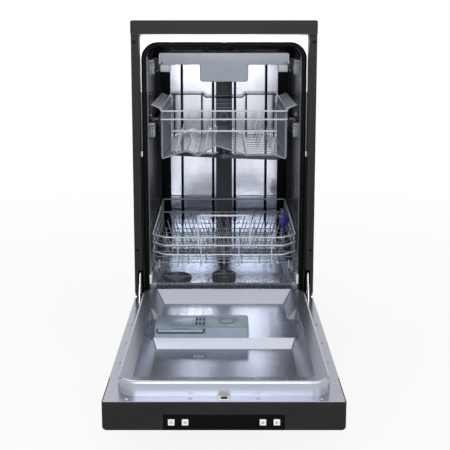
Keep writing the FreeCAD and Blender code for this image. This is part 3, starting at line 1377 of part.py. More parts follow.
# Lower basket: flat wire panels with cut front corners, a floor, a handle, tine rows and wheel axles.
l_half = s.lower_half - half_wire
rows = [s.lower_floor, s.lower_wire_three, s.lower_wire_two, s.lower_rim]
side_rows = [s.lower_floor, s.side_wire_two, s.side_rim]
front_half = s.lower_half - s.corner_cut
front_y = s.lower_y + half_wire
side_start = s.lower_y + s.corner_cut
rear_y = s.lower_end - half_wire
lower = [grid(Vector(0, front_y, 0), across_x, up_z, lines(-front_half, front_half, s.lower_pitch), rows,
              wire, wire)]
cut_length = s.corner_cut * math.sqrt(2)
for sign in (-1, 1):
    slant = Vector(sign, 1, 0).normalize()
    lower.append(grid(Vector(sign * front_half, front_y, 0), slant, up_z,
                      lines(1.25 * wire, cut_length - 1.25 * wire, s.lower_pitch), rows, wire, wire))
    lower.append(grid(Vector(sign * l_half, 0, 0), into_y, up_z,
                      lines(side_start + wire, rear_y - wire - half_wire, s.lower_pitch), side_rows, wire,
                      wire))
lower.append(grid(Vector(0, rear_y, 0), across_x, up_z, lines(-l_half, l_half, s.lower_pitch), side_rows,
                  wire, wire))
floor_x = l_half - wire - s.run_gap
lower.append(grid(Vector(0, 0, s.lower_floor), across_x, into_y, lines(-floor_x, floor_x, s.lower_pitch),
                  lines(side_start + 2 * wire, rear_y - wire - s.run_gap, s.lower_pitch), wire, wire))
strip_x = front_half - 2 * wire
lower.append(grid(Vector(0, 0, s.lower_floor), across_x, into_y, lines(-strip_x, strip_x, s.lower_pitch),
                  lines(front_y + wire, side_start + wire, s.corner_cut), wire, wire))
handle_y = front_y + wire
handle_top = s.lower_rim + s.handle_height
for sign in (-1, 1):
    x = sorted((sign * (s.handle_half - wire), sign * s.handle_half))
    lower.append(solid_box(x, (handle_y - half_wire, handle_y + half_wire), (s.lower_wire_two, handle_top)))
lower.append(solid_box((-s.handle_half, s.handle_half), (handle_y - half_wire, handle_y + half_wire),
                       (handle_top, handle_top + wire)))
tine_lines = lines(-floor_x + s.tine_border, floor_x - s.tine_border, s.tine_pitch)
floor_top = s.lower_floor + half_wire
for y in (s.lower_y + s.tine_first, s.lower_y + s.tine_first + s.tine_step, s.lower_y + s.tine_last):
    lower.append(comb(tine_lines, y, floor_top))
wheel_spots = [("front", s.lower_y + s.wheel_first), ("rear", s.lower_y + s.wheel_second)]
for sign in (-1, 1):
    for place, y in wheel_spots:
        hanger_end = s.wheel_x - s.hanger_gap
        hanger_x = sorted((sign * (hanger_end - s.hanger_thick), sign * hanger_end))
        hanger = solid_box(hanger_x, (y - s.hanger_half, y + s.hanger_half),
                           (s.wheel_z - s.axle_radius - s.hanger_drop, s.lower_floor - half_wire))
        stub_x = sorted((sign * (hanger_end - s.hanger_thick / 2), sign * (s.wheel_x + s.wheel_width)))
        stub = Part.makeCylinder(s.axle_radius, stub_x[1] - stub_x[0], Vector(stub_x[0], y, s.wheel_z),
                                 across_x)
        lower.append(hanger.fuse(stub))
form("lower_basket", Part.makeCompound(lower))

# Basket wheels.
for side, sign in (("left", -1), ("right", 1)):
    for place, y in wheel_spots:
        x = sorted((sign * s.wheel_x, sign * (s.wheel_x + s.wheel_width)))
        tread = Part.makeCylinder(s.wheel_radius, s.wheel_width, Vector(x[0], y, s.wheel_z), across_x)
        tread = tread.makeFillet(s.wheel_round, [e for e in tread.Edges if isinstance(e.Curve,
                                                                                      Part.Circle)])
        bore = Part.makeCylinder(s.axle_radius + s.pin_clearance, s.wheel_width + 2 * s.over_cut,
                                 Vector(x[0] - s.over_cut, y, s.wheel_z), across_x)
        form(f"{place}_{side}_wheel", tread.cut(bore))

# Folding tine row: a comb on a rod that lies just over the basket floor.
fold_y = s.lower_y + s.fold_first
fold_lift = wire * (math.sqrt(0.5) - 0.5) + s.pin_clearance
form("folding_tines", comb(tine_lines, fold_y, floor_top + fold_lift))

# Lock clip of the folding tines on the basket's right side.
clip_face = l_half - half_wire
clip_foot = floor_top + s.clip_lift
clip = solid_box((clip_face - s.clip_width, clip_face), (fold_y - s.clip_thick / 2,
                                                         fold_y + s.clip_thick / 2),
                 (clip_foot, clip_foot + s.clip_height))
form("tine_clip", clip.makeFillet(s.clip_round, clip.Edges))


# Every object has to be sound before anything is written.
doc.recompute()
for obj in doc.Objects:
    if "Invalid" in obj.State or "Error" in obj.State:
        raise RuntimeError(f"{obj.Name} failed: {obj.State}")
os.makedirs("parts", exist_ok=True)
for obj in pieces:
    if obj.Shape.isNull() or not obj.Shape.isValid():
        raise RuntimeError(f"{obj.Label} has no valid shape")
for obj in pieces:
    obj.Shape.exportStep(f"parts/{obj.Label}.step")
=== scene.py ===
import json
import math

import bmesh
import bpy
from mathutils import Matrix, Vector

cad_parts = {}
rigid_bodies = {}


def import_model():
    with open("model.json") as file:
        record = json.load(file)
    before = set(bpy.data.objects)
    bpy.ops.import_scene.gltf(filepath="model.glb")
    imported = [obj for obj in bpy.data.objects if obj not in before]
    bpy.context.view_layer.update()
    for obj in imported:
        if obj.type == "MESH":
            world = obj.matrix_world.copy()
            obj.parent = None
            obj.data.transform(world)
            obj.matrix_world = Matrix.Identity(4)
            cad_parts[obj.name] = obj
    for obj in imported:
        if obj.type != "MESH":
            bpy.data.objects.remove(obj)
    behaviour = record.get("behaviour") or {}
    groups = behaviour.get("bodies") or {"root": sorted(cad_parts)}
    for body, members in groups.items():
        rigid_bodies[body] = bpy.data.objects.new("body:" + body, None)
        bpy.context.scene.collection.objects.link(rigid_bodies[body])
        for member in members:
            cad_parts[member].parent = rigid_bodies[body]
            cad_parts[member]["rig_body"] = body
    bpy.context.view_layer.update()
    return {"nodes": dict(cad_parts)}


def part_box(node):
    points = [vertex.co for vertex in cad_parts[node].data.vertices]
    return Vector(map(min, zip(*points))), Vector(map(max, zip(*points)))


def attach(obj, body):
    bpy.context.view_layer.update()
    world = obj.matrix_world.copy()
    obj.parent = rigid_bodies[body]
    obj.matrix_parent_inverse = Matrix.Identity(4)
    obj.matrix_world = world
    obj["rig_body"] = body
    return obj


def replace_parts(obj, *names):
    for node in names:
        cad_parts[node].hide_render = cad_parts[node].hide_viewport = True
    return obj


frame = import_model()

# Studio: a pale floor, an even white surround and soft lamps that also reach into the open tub.
# The camera stands in front, level with the worktop, and looks down a little on the open door.
scene = bpy.context.scene
scene.view_settings.view_transform = "Standard"
WHITE = "#ffffff"
FLOOR_HALF = 6.0
FLOOR_COLOUR = "#f1f1f1"
FLOOR_GLOW = 0.88
FLOOR_FADE = (0.9, 2.6)
SURROUND_FILL = 0.42
CAMERA_PLACE = (0.0, -2.1497, 0.844)
CAMERA_TILT = 80.13
CAMERA_SENSOR = 36.0
CAMERA_LENS = 72.3
CAMERA_SHIFT = (0.0022, -0.10)
LAMPS = (
    ("front_lamp", (-0.15, -3.0, 1.35), (0.0, 0.2, 0.45), 1.4, 42.0),
    ("right_lamp", (1.5, -2.5, 1.3), (0.0, 0.0, 0.40), 1.2, 17.0),
    ("top_lamp", (0.0, -0.6, 2.6), (0.0, -0.15, 0.2), 1.6, 8.0),
    ("rear_lamp", (-0.6, 2.0, 3.0), (0.0, 0.5, 0.5), 1.4, 26.0),
)


def linear(code):
    """An sRGB hex colour as linear red, green, blue and alpha."""
    parts = [int(code[i:i + 2], 16) / 255 for i in (1, 3, 5)]
    return [c / 12.92 if c <= 0.04045 else ((c + 0.055) / 1.055) ** 2.4 for c in parts] + [1.0]


def add(tree, kind, links=None, **settings):
    """Adds one node: settings go on the node, links give its inputs a value or another node's output."""
    node = tree.nodes.new(kind)
    for key, value in settings.items():
        setattr(node, key, value)
    for key, value in (links or {}).items():
        if isinstance(value, bpy.types.NodeSocket):
            tree.links.new(value, node.inputs[key])
        else:
            node.inputs[key].default_value = value
    return node


def mesh_piece(name, work, finish):
    """A plain object at the origin made from a bmesh, with one finish."""
    mesh = bpy.data.meshes.new(name)
    work.to_mesh(mesh)
    work.free()
    mesh.materials.append(finish)
    piece = bpy.data.objects.new(name, mesh)
    scene.collection.objects.link(piece)
    return piece


surround = bpy.data.worlds.new("white_surround")
surround.use_nodes = True
surround.node_tree.nodes.clear()
scene.world = surround
floor_finish = bpy.data.materials.new("matt_paper_floor")
floor_finish.use_nodes = True
floor_finish.node_tree.nodes.clear()
for tree in (surround.node_tree, floor_finish.node_tree):
    rays = add(tree, "ShaderNodeLightPath").outputs
    direct = add(tree, "ShaderNodeMath", {0: rays["Is Camera Ray"], 1: rays["Is Glossy Ray"]},
                 operation="MAXIMUM")
    seen = add(tree, "ShaderNodeMath", {0: direct.outputs[0], 1: rays["Is Transmission Ray"]},
               operation="MAXIMUM")
    if tree is surround.node_tree:
        level = add(tree, "ShaderNodeMapRange", {"Value": seen.outputs[0], "To Min": SURROUND_FILL,
                                                 "To Max": 1.0})
        sky = add(tree, "ShaderNodeBackground", {"Color": linear(WHITE), "Strength": level.outputs[0]})
        add(tree, "ShaderNodeOutputWorld", {"Surface": sky.outputs[0]})
    else:
        where = add(tree, "ShaderNodeTexCoord").outputs["Object"]
        away = add(tree, "ShaderNodeVectorMath", {0: where}, operation="LENGTH")
        fade = add(tree, "ShaderNodeMapRange", {
            "Value": away.outputs["Value"], "From Min": FLOOR_FADE[0], "From Max": FLOOR_FADE[1],
            "To Min": FLOOR_GLOW, "To Max": 1.0})
        share = add(tree, "ShaderNodeMath", {0: seen.outputs[0], 1: fade.outputs[0]}, operation="MULTIPLY")
        paper = add(tree, "ShaderNodeBsdfDiffuse", {"Color": linear(FLOOR_COLOUR)})
        glow = add(tree, "ShaderNodeEmission", {"Color": linear(WHITE), "Strength": 1.0})
        mixed = add(tree, "ShaderNodeMixShader", {0: share.outputs[0], 1: paper.outputs[0],
                                                  2: glow.outputs[0]})
        add(tree, "ShaderNodeOutputMaterial", {"Surface": mixed.outputs[0]})
work = bmesh.new()
work.faces.new([work.verts.new((x * FLOOR_HALF, y * FLOOR_HALF, 0.0))
                for x, y in ((-1, -1), (1, -1), (1, 1), (-1, 1))])
mesh_piece("studio_floor", work, floor_finish)
for name, place, aim, side, power in LAMPS:
    lamp = bpy.data.lights.new(name, "AREA")
    lamp.shape = "DISK"
    lamp.size = side
    lamp.energy = power
    holder = bpy.data.objects.new(name, lamp)
    holder.location = place
    holder.rotation_euler = (Vector(aim) - Vector(place)).to_track_quat("-Z", "Y").to_euler()
    scene.collection.objects.link(holder)
lens = bpy.data.cameras.new("photo_camera")
lens.sensor_width = CAMERA_SENSOR
lens.lens = CAMERA_LENS
lens.shift_x, lens.shift_y = CAMERA_SHIFT
camera = bpy.data.objects.new("photo_camera", lens)
camera.location = CAMERA_PLACE
camera.rotation_euler = (math.radians(CAMERA_TILT), 0.0, 0.0)
scene.collection.objects.link(camera)
scene.camera = camera

# Worktop: a chipboard slab in dark grey laminate with rounded edges, laid on the cabinet from above.
# The print has a fine speckle and the surface a soft sheen; a pale line along the lower front edge is a painted
# highlight.
MM = 0.001
MERGE = 0.005
FLAT_ANGLE = 0.8
LAMINATE = "#252526"
LAMINATE_EDGE_HIGHLIGHT = "#4a4a4c"
HIGHLIGHT_LINE = 1.2


def surface(name, colour, roughness, mottle, grain, metallic=0.0, stretch=(1, 1, 1), coat=0.0, shine=0.5):
    """One finish. Mottle is (size mm, share) in the colour; grain is (size mm, depth mm, share) in gloss
    and relief."""
    finish = bpy.data.materials.new(name)
    finish.use_nodes = True
    tree = finish.node_tree
    tree.nodes.clear()
    base = linear(colour)
    where = add(tree, "ShaderNodeTexCoord", name="where").outputs["Object"]
    along = add(tree, "ShaderNodeMapping", {"Vector": where, "Scale": stretch}).outputs[0]
    cloud = add(tree, "ShaderNodeTexNoise", {"Vector": along, "Scale": 1 / (mottle[0] * MM), "Detail": 4.0})
    dark = [c * (1 - mottle[1]) for c in base[:3]] + [1.0]
    light = [min(1.0, c * (1 + mottle[1])) for c in base[:3]] + [1.0]
    swing = add(tree, "ShaderNodeMapRange", {"Value": cloud.outputs[0], "From Min": 0.3, "From Max": 0.7})
    tone = add(tree, "ShaderNodeMix", {0: swing.outputs[0], 6: dark, 7: light}, data_type="RGBA", name="tone")
    fine = add(tree, "ShaderNodeTexNoise", {"Vector": along, "Scale": 1 / (grain[0] * MM), "Detail": 2.0})
    gloss = add(tree, "ShaderNodeMapRange", {
        "Value": fine.outputs[0], "From Min": 0.3, "From Max": 0.7,
        "To Min": roughness * (1 - grain[2]), "To Max": min(1.0, roughness * (1 + grain[2]))})
    relief = add(tree, "ShaderNodeBump", {"Height": fine.outputs[0], "Distance": grain[1] * MM,
                                          "Strength": 0.6}, name="relief")
    shader = add(tree, "ShaderNodeBsdfPrincipled", {
        "Base Color": tone.outputs[2], "Roughness": gloss.outputs[0], "Metallic": metallic,
        "Normal": relief.outputs[0], "Coat Weight": coat, "Specular IOR Level": shine}, name="shader")
    add(tree, "ShaderNodeOutputMaterial", {"Surface": shader.outputs[0]})
    return finish


def banded(finish, colour, **spans):
    """Recolours a finish inside a box, given in mm by its spans along x, y or z of the object's own frame."""
    tree = finish.node_tree
    parts = add(tree, "ShaderNodeSeparateXYZ", {0: tree.nodes["where"].outputs["Object"]})
    share = None
    for letter, (low, high) in spans.items():
        inside = add(tree, "ShaderNodeMath", {
            0: parts.outputs[letter.upper()], 1: (low + high) / 2 * MM, 2: (high - low) / 2 * MM},
            operation="COMPARE").outputs[0]
        if share is None:
            share = inside
        else:
            share = add(tree, "ShaderNodeMath", {0: share, 1: inside}, operation="MULTIPLY").outputs[0]
    shader = tree.nodes["shader"]
    before = shader.inputs["Base Color"].links[0].from_socket
    band = add(tree, "ShaderNodeMix", {0: share, 6: before, 7: linear(colour)}, data_type="RGBA")
    tree.links.new(band.outputs[2], shader.inputs["Base Color"])


def dress(finish, *nodes):
    """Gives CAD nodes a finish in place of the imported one."""
    for node in nodes:
        mesh = frame["nodes"][node].data
        mesh.materials.clear()
        mesh.materials.append(finish)


def softened(node, width, finish, steps=2, limit=32, corner=0.0):
    """A copy of a CAD solid with its sharp edges rounded, standing in its place on its body. Corner is a
    larger radius, in mm, for the upright edges on its right-hand end."""
    source = frame["nodes"][node]
    work = bmesh.new()
    work.from_mesh(source.data)
    bmesh.ops.remove_doubles(work, verts=work.verts, dist=MERGE * MM)
    bmesh.ops.dissolve_limit(work, angle_limit=math.radians(FLAT_ANGLE), verts=work.verts, edges=work.edges)
    if corner:
        end = max(v.co.x for v in work.verts) - 0.1 * MM
        upright = [e for e in work.edges if min(v.co.x for v in e.verts) > end and
                   abs(e.verts[0].co.z - e.verts[1].co.z) > 0.95 * e.calc_length()]
        bmesh.ops.bevel(work, geom=upright, offset=corner * MM, segments=5, affect="EDGES", profile=0.5)
    piece = mesh_piece(node + "_finished", work, finish)
    for layer in [a for a in piece.data.attributes if a.name in ("custom_normal", "sharp_face", "sharp_edge")]:
        piece.data.attributes.remove(layer)
    bevel = piece.modifiers.new("edges", "BEVEL")
    bevel.width = width * MM
    bevel.segments = steps
    bevel.limit_method = "ANGLE"
    bevel.angle_limit = math.radians(limit)
    shaped = bpy.data.meshes.new_from_object(piece.evaluated_get(bpy.context.evaluated_depsgraph_get()))
    piece.modifiers.clear()
    piece.data = shaped
    shaped.polygons.foreach_set("use_smooth", [True] * len(shaped.polygons))
    shaped.set_sharp_from_angle(angle=math.radians(limit))
    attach(piece, source["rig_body"])
    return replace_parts(piece, node)


laminate = surface("dark_laminate", LAMINATE, 0.45, (1.4, 0.12), (0.7, 0.03, 0.15), shine=0.12)
worktop_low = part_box("worktop")[0].z / MM
# Painted highlight: a pale band along the bottom of the front edge, where the rounded edge catches the light.
banded(laminate, LAMINATE_EDGE_HIGHLIGHT, z=(worktop_low, worktop_low + HIGHLIGHT_LINE))
dress(laminate, "worktop")

# Cabinet: side panels, plinth and outer door in folded sheet steel with graphite powder coating.
# The coating shows a fine orange peel; the rear sheet is bare galvanised steel with pressed ribs.
PAINT = "#222223"
ZINC = "#9aa0a6"
SPANGLE = 9.0
SPANGLE_TONES = (0.86, 1.12)
RIB_PITCH = 86.0
RIB_DEPTH = 3.0
RIB_SHOULDER = (0.72, 0.9)
WAVE_UNIT = math.tau / 20
powder_coat = surface("graphite_powder_coat", PAINT, 0.42, (60.0, 0.06), (2.2, 0.05, 0.10), shine=0.12)
dress(powder_coat, "left_side_panel", "right_side_panel", "outer_door_panel")
softened("kickplate", 0.7, powder_coat)
galvanised = surface("galvanised_sheet", ZINC, 0.42, (30.0, 0.05), (1.5, 0.02, 0.15), metallic=1.0)
tree = galvanised.node_tree
flake = add(tree, "ShaderNodeTexVoronoi", {"Vector": tree.nodes["where"].outputs["Object"],
                                           "Scale": 1 / (SPANGLE * MM)})
flake_tone = add(tree, "ShaderNodeMapRange", {"Value": flake.outputs["Color"], "To Min": SPANGLE_TONES[0],
                                              "To Max": SPANGLE_TONES[1]})
spangled = add(tree, "ShaderNodeMix", {0: 1.0, 6: tree.nodes["tone"].outputs[2], 7: flake_tone.outputs[0]},
               data_type="RGBA", blend_type="MULTIPLY")
tree.links.new(spangled.outputs[2], tree.nodes["shader"].inputs["Base Color"])
ribbed_sheet = galvanised.copy()
ribbed_sheet.name = "galvanised_ribbed_sheet"
tree = ribbed_sheet.node_tree
ribs = add(tree, "ShaderNodeTexWave", {"Vector": tree.nodes["where"].outputs["Object"],
                                       "Scale": WAVE_UNIT / (RIB_PITCH * MM), "Distortion": 0.0},
           bands_direction="Z")
pressed = add(tree, "ShaderNodeMapRange", {"Value": ribs.outputs["Fac"], "From Min": RIB_SHOULDER[0],
                                           "From Max": RIB_SHOULDER[1]}, interpolation_type="SMOOTHSTEP")
rib_relief = add(tree, "ShaderNodeBump", {"Height": pressed.outputs[0], "Distance": RIB_DEPTH * MM,
                                          "Strength": 1.0, "Normal": tree.nodes["relief"].outputs[0]})
tree.links.new(rib_relief.outputs[0], tree.nodes["shader"].inputs["Normal"])
dress(ribbed_sheet, "back_panel")
dress(galvanised, "hinge_brackets")

# Base tray and feet: a black moulded polypropylene tray that carries the pumps, on four screw feet.
# Each foot is a turned pad on a stem, with a ribbed ring for the fingers.
BASE_BLACK = "#2a2a2c"
FOOT_RIBS = 20
FOOT_RIB_RADIUS = 18.2
FOOT_RIB_SPAN = (3.5, 8.5)
UP = (0, 0, 1)
base_plastic = surface("moulded_polypropylene", BASE_BLACK, 0.55, (25.0, 0.10), (0.9, 0.06, 0.12))
dress(base_plastic, "base_tray", "sump")


def islands(node):
    """The lowest and highest corners, in mm, of each separate solid in a CAD node."""
    work = bmesh.new()
    work.from_mesh(frame["nodes"][node].data)
    bmesh.ops.remove_doubles(work, verts=work.verts, dist=MERGE * MM)
    left = set(work.verts)
    found = []
    while left:
        group = set()
        heap = [left.pop()]
        while heap:
            vert = heap.pop()
            group.add(vert)
            for edge in vert.link_edges:
                other = edge.other_vert(vert)
                if other in left:
                    left.remove(other)
                    heap.append(other)
        found.append((Vector([min(v.co[i] for v in group) for i in range(3)]) / MM,
                      Vector([max(v.co[i] for v in group) for i in range(3)]) / MM))
    work.free()
    return sorted(found, key=lambda pair: tuple(pair[0]))


def round_points(count, radius):
    """Evenly spaced places round a circle about nought, as pairs in mm."""
    return [(radius * math.cos(math.tau * i / count), radius * math.sin(math.tau * i / count))
            for i in range(count)]


def turned(work, profile, centre, axis, steps=32):
    """Adds a lathe shape: profile is (radius, height) pairs in mm along the axis from the centre."""
    turn = Vector(UP).rotation_difference(Vector(axis)).to_matrix().to_4x4()
    place = Matrix.Translation(Vector(centre) * MM) @ turn
    rings = []
    for radius, height in profile:
        ring = round_points(steps, radius * MM) if radius else [(0, 0)]
        rings.append([work.verts.new(place @ Vector((x, y, height * MM))) for x, y in ring])
    for low, high in zip(rings, rings[1:]):
        for i in range(steps):
            j = (i + 1) % steps
            corners = [low[i % len(low)], low[j % len(low)], high[j % len(high)], high[i % len(high)]]
            face = work.faces.new(list(dict.fromkeys(corners)))
            face.smooth = True


def placed(piece, body, slot, *nodes, sharp=32):
    """Smooths a finished piece up to sharp edges, and sets its body and the nodes it stands for. The slot is not
    used.
    """
    work = bmesh.new()
    work.from_mesh(piece.data)
    bmesh.ops.recalc_face_normals(work, faces=work.faces)
    work.to_mesh(piece.data)
    work.free()
    piece.data.polygons.foreach_set("use_smooth", [True] * len(piece.data.polygons))
    piece.data.set_sharp_from_angle(angle=math.radians(sharp))
    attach(piece, body)
    if nodes:
        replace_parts(piece, *nodes)
    return piece


def tree_of(name, *sizes):
    """A geometry tree with a geometry input and output, number inputs for its sizes, and a finish."""
    tree = bpy.data.node_groups.new(name, "GeometryNodeTree")
    tree.interface.new_socket("Geometry", in_out="INPUT", socket_type="NodeSocketGeometry")
    tree.interface.new_socket("Geometry", in_out="OUTPUT", socket_type="NodeSocketGeometry")
    for size in sizes:
        kind = "NodeSocketVector" if size == "Outward" else "NodeSocketFloat"
        tree.interface.new_socket(size, in_out="INPUT", socket_type=kind)
    tree.interface.new_socket("Finish", in_out="INPUT", socket_type="NodeSocketMaterial")
    return tree, add(tree, "NodeGroupInput").outputs


def closed_tree(tree, given, shape):
    """Ends a geometry tree: real meshes, not instances, with the finish set."""
    real = add(tree, "GeometryNodeRealizeInstances", {"Geometry": shape.outputs[0]})
    coloured = add(tree, "GeometryNodeSetMaterial", {"Geometry": real.outputs[0], "Material": given["Finish"]})
    add(tree, "NodeGroupOutput", {0: coloured.outputs[0]})


def swept_tree(tree, given, section, bend_steps):
    """Ends a geometry tree with a section drawn along the paths, whose corners are bent to a radius."""
    line = add(tree, "GeometryNodeMeshToCurve", {0: given["Geometry"]})
    bent = add(tree, "GeometryNodeFilletCurve", {"Curve": line.outputs[0], "Count": bend_steps,
                                                 "Radius": given["Bend"], "Limit Radius": True}, mode="POLY")
    closed_tree(tree, given, add(tree, "GeometryNodeCurveToMesh", {
        "Curve": bent.outputs[0], "Profile Curve": section.outputs[0], "Fill Caps": True}))


def grown(name, tree, paths, finish, **sizes):
    """Runs a geometry tree on paths of points in mm, and keeps what it makes as a plain mesh. A path that
    ends where it starts is a loop, and a path of one point is a place for one copy."""
    points, edges = [], []
    for path in paths:
        loop = len(path) > 2 and tuple(path[0]) == tuple(path[-1])
        first = len(points)
        points += [Vector(p) * MM for p in (path[:-1] if loop else path)]
        last = len(points) - 1
        edges += [(i, i + 1) for i in range(first, last)]
        if loop:
            edges.append((last, first))
    mesh = bpy.data.meshes.new(name)
    mesh.from_pydata(points, edges, [])
    piece = bpy.data.objects.new(name, mesh)
    scene.collection.objects.link(piece)
    grow = piece.modifiers.new("grow", "NODES")
    grow.node_group = tree
    for item in tree.interface.items_tree:
        if item.in_out == "INPUT" and item.name == "Finish":
            grow[item.identifier] = finish
        elif item.in_out == "INPUT" and item.name in sizes:
            value = sizes[item.name]
            grow[item.identifier] = value if item.name == "Outward" else value * MM
    piece.update_tag()
    shaped = bpy.data.meshes.new_from_object(piece.evaluated_get(bpy.context.evaluated_depsgraph_get()))
    piece.modifiers.clear()
    piece.data = shaped
    return piece


flat_bar, given = tree_of("flat_bar", "Width", "Height", "Round", "Bend")
section = add(flat_bar, "GeometryNodeCurvePrimitiveQuadrilateral", {"Width": given["Width"],
                                                                    "Height": given["Height"]})
eased = add(flat_bar, "GeometryNodeFilletCurve", {"Curve": section.outputs[0], "Count": 2,
                                                  "Radius": given["Round"], "Limit Radius": True}, mode="POLY")
swept_tree(flat_bar, given, eased, 5)
work = bmesh.new()
foot_ribs = []
for low, high in islands("feet"):
    x, y = (low.x + high.x) / 2, (low.y + high.y) / 2
    turned(work, ((0, 0.2), (15, 0), (18, 1.2), (18.6, 3), (18.6, 9), (17, 11), (10, 12), (8.5, 14), (7, 15),
                  (7, high.z), (0, high.z)), (x, y, 0), UP)
    foot_ribs += [[(x + across, y + along, z) for z in FOOT_RIB_SPAN]
                  for across, along in round_points(FOOT_RIBS, FOOT_RIB_RADIUS)]
placed(mesh_piece("levelling_feet", work, base_plastic), "cabinet", "base_plastic", "feet")
placed(grown("levelling_foot_ribs", flat_bar, foot_ribs, base_plastic, Width=1.4, Height=1.4, Round=0.5, Bend=0),
       "cabinet", "base_plastic")

# Fixings: pan-head screws with a cross recess, blackened in the cabinet's front posts and zinc-plated in a
# row down each side of the inner door. One head is drawn once and set on every place.
SCREW_ZINC = "#9c9fa8"
SCREW_BLACK = "#060606"
SCREW_HEAD, SCREW_RISE = 4.0, 1.5
RECESS_REACH, RECESS_WIDTH, RECESS_DEPTH = 1.15, 0.26, 1.4
zinc_plate = surface("zinc_plated_screw", SCREW_ZINC, 0.30, (6.0, 0.08), (0.6, 0.01, 0.2), metallic=1.0)
dark_plate = surface("blackened_screw", SCREW_BLACK, 0.5, (6.0, 0.08), (0.6, 0.01, 0.2), shine=0.1)


def set_on_places(tree, given, shape, **turn):
    """Ends a geometry tree with one copy of a shape on every place it is given."""
    places = add(tree, "GeometryNodeMeshToPoints", {"Mesh": given["Geometry"]})
    closed_tree(tree, given, add(tree, "GeometryNodeInstanceOnPoints", {
        "Points": places.outputs[0], "Instance": shape.outputs[0], **turn}))


cross_head, given = tree_of("cross_head_screws", "Head", "Rise", "Outward")
dome = add(cross_head, "GeometryNodeMeshUVSphere", {"Segments": 16, "Rings": 8, "Radius": given["Head"]})
flat = add(cross_head, "ShaderNodeMath", {0: given["Rise"], 1: given["Head"]}, operation="DIVIDE")
squash = add(cross_head, "ShaderNodeCombineXYZ", {0: 1.0, 1: 1.0, 2: flat.outputs[0]})
head = add(cross_head, "GeometryNodeTransform", {"Geometry": dome.outputs[0], "Scale": squash.outputs[0]})
arm = add(cross_head, "ShaderNodeMath", {0: given["Head"], 1: RECESS_REACH}, operation="MULTIPLY")
thin = add(cross_head, "ShaderNodeMath", {0: given["Head"], 1: RECESS_WIDTH}, operation="MULTIPLY")
deep = add(cross_head, "ShaderNodeMath", {0: given["Rise"], 1: RECESS_DEPTH}, operation="MULTIPLY")
crown = add(cross_head, "ShaderNodeCombineXYZ", {2: given["Rise"]})
recess = add(cross_head, "GeometryNodeJoinGeometry")
for across, along in ((arm, thin), (thin, arm)):
    span = add(cross_head, "ShaderNodeCombineXYZ", {0: across.outputs[0], 1: along.outputs[0],
                                                    2: deep.outputs[0]})
    blade = add(cross_head, "GeometryNodeMeshCube", {"Size": span.outputs[0]})
    raised = add(cross_head, "GeometryNodeTransform", {"Geometry": blade.outputs[0],
                                                       "Translation": crown.outputs[0]})
    cross_head.links.new(raised.outputs[0], recess.inputs[0])
driven = add(cross_head, "GeometryNodeMeshBoolean", {"Mesh 1": head.outputs[0], "Mesh 2": recess.outputs[0]},
             operation="DIFFERENCE")
facing = add(cross_head, "FunctionNodeAlignRotationToVector", {"Vector": given["Outward"]}, axis="Z")
set_on_places(cross_head, given, driven, Rotation=facing.outputs[0])
for name, node, body, outward, plating in (
        ("post_screw_heads", "post_screws", "cabinet", (0, -1, 0), dark_plate),
        ("door_screw_heads", "door_screws", "door", UP, zinc_plate)):
    spots = []
    for low, high in islands(node):
        middle = (low + high) / 2
        spots.append([(middle.x, high.y, middle.z) if outward[1] else (middle.x, middle.y, low.z)])
    placed(grown(name, cross_head, spots, plating, Head=SCREW_HEAD, Rise=SCREW_RISE, Outward=outward), body,
           "galvanised_steel", node)

# Tub: a drawn stainless steel shell. Its mirror-bright sides and roof are coloured near black with lighter streaks, a
# painted dark reflection. Its back and floor catch the light, and a pale flange frames the mouth, with a black rubber
# seal on it;
# back, floor and flange carry bands of painted shade.
SIDE_DARK_REFLECTION = "#44474e"
BACK_STEEL = "#e3e6f1"
BACK_PAINTED_SHADE = "#8f97a4"
BEAD_SHADOW = "#16171a"
FLOOR_STEEL = "#b9bdc8"
SILL_SHADE_STEEL = "#72767f"
FLANGE = "#eeeef6"
FLANGE_SHADE = "#7f8086"
SILL_SHADOW = "#1d1e21"
SEAL = "#060607"
MOUTH_STEEL = "#7c808a"
ACETAL_WHITE = "#e4e6ea"
BACK_FOOT, BACK_HEAD = (160.0, 318.0), (744.0, 800.0)
BEADS, BEAD_HALF = (-127.0, -33.0, 33.0, 127.0), 2.8
BACK_CORNERS, CORNER_HALF = (-178.0, 178.0), 17.0
SILL_DEPTH, SILL_HEIGHT = (60.0, 85.0), (140.0, 183.0)
FLANGE_IN, FLANGE_OUT = 189.0, 206.0
FLANGE_SIDES, FLANGE_DARK = (183.0, 676.0), (183.0, 515.0)
MOUTH_EDGES, MOUTH_Y, MOUTH_HEIGHT = (-188.6, 188.6), 84.2, (196.0, 762.0)
MOUTH_BLOCKS = (((183.5, 189.5), (72.0, 84.0), (188.0, 213.0)),
                ((201.2, 204.8), (64.0, 70.0), (517.0, 531.0)))
MOUTH_PLATE = ((160.0, 192.0), (83.0, 84.6), (150.0, 188.5))


def blocks(name, boxes, round_by, finish, steps=2):
    """Rounded blocks in one mesh, each given as its x, y and z spans in mm."""
    work = bmesh.new()
    for spans in boxes:
        centre = Vector([(low + high) / 2 for low, high in spans]) * MM
        size = [(high - low) * MM for low, high in spans]
        made = bmesh.ops.create_cube(work, size=1.0,
                                     matrix=Matrix.Translation(centre) @ Matrix.Diagonal((*size, 1.0)))
        edges = list({edge for vert in made["verts"] for edge in vert.link_edges})
        bmesh.ops.bevel(work, geom=edges, offset=min(round_by * MM, 0.45 * min(size)), segments=steps,
                        affect="EDGES", profile=0.5)
    return mesh_piece(name, work, finish)


def both_sides(*boxes):
    """Boxes on the left and again on the right, each given by its reach from the middle and its y and z spans."""
    return [(sorted((sign * near, sign * far)), depth, height)
            for sign in (-1, 1) for (near, far), depth, height in boxes]
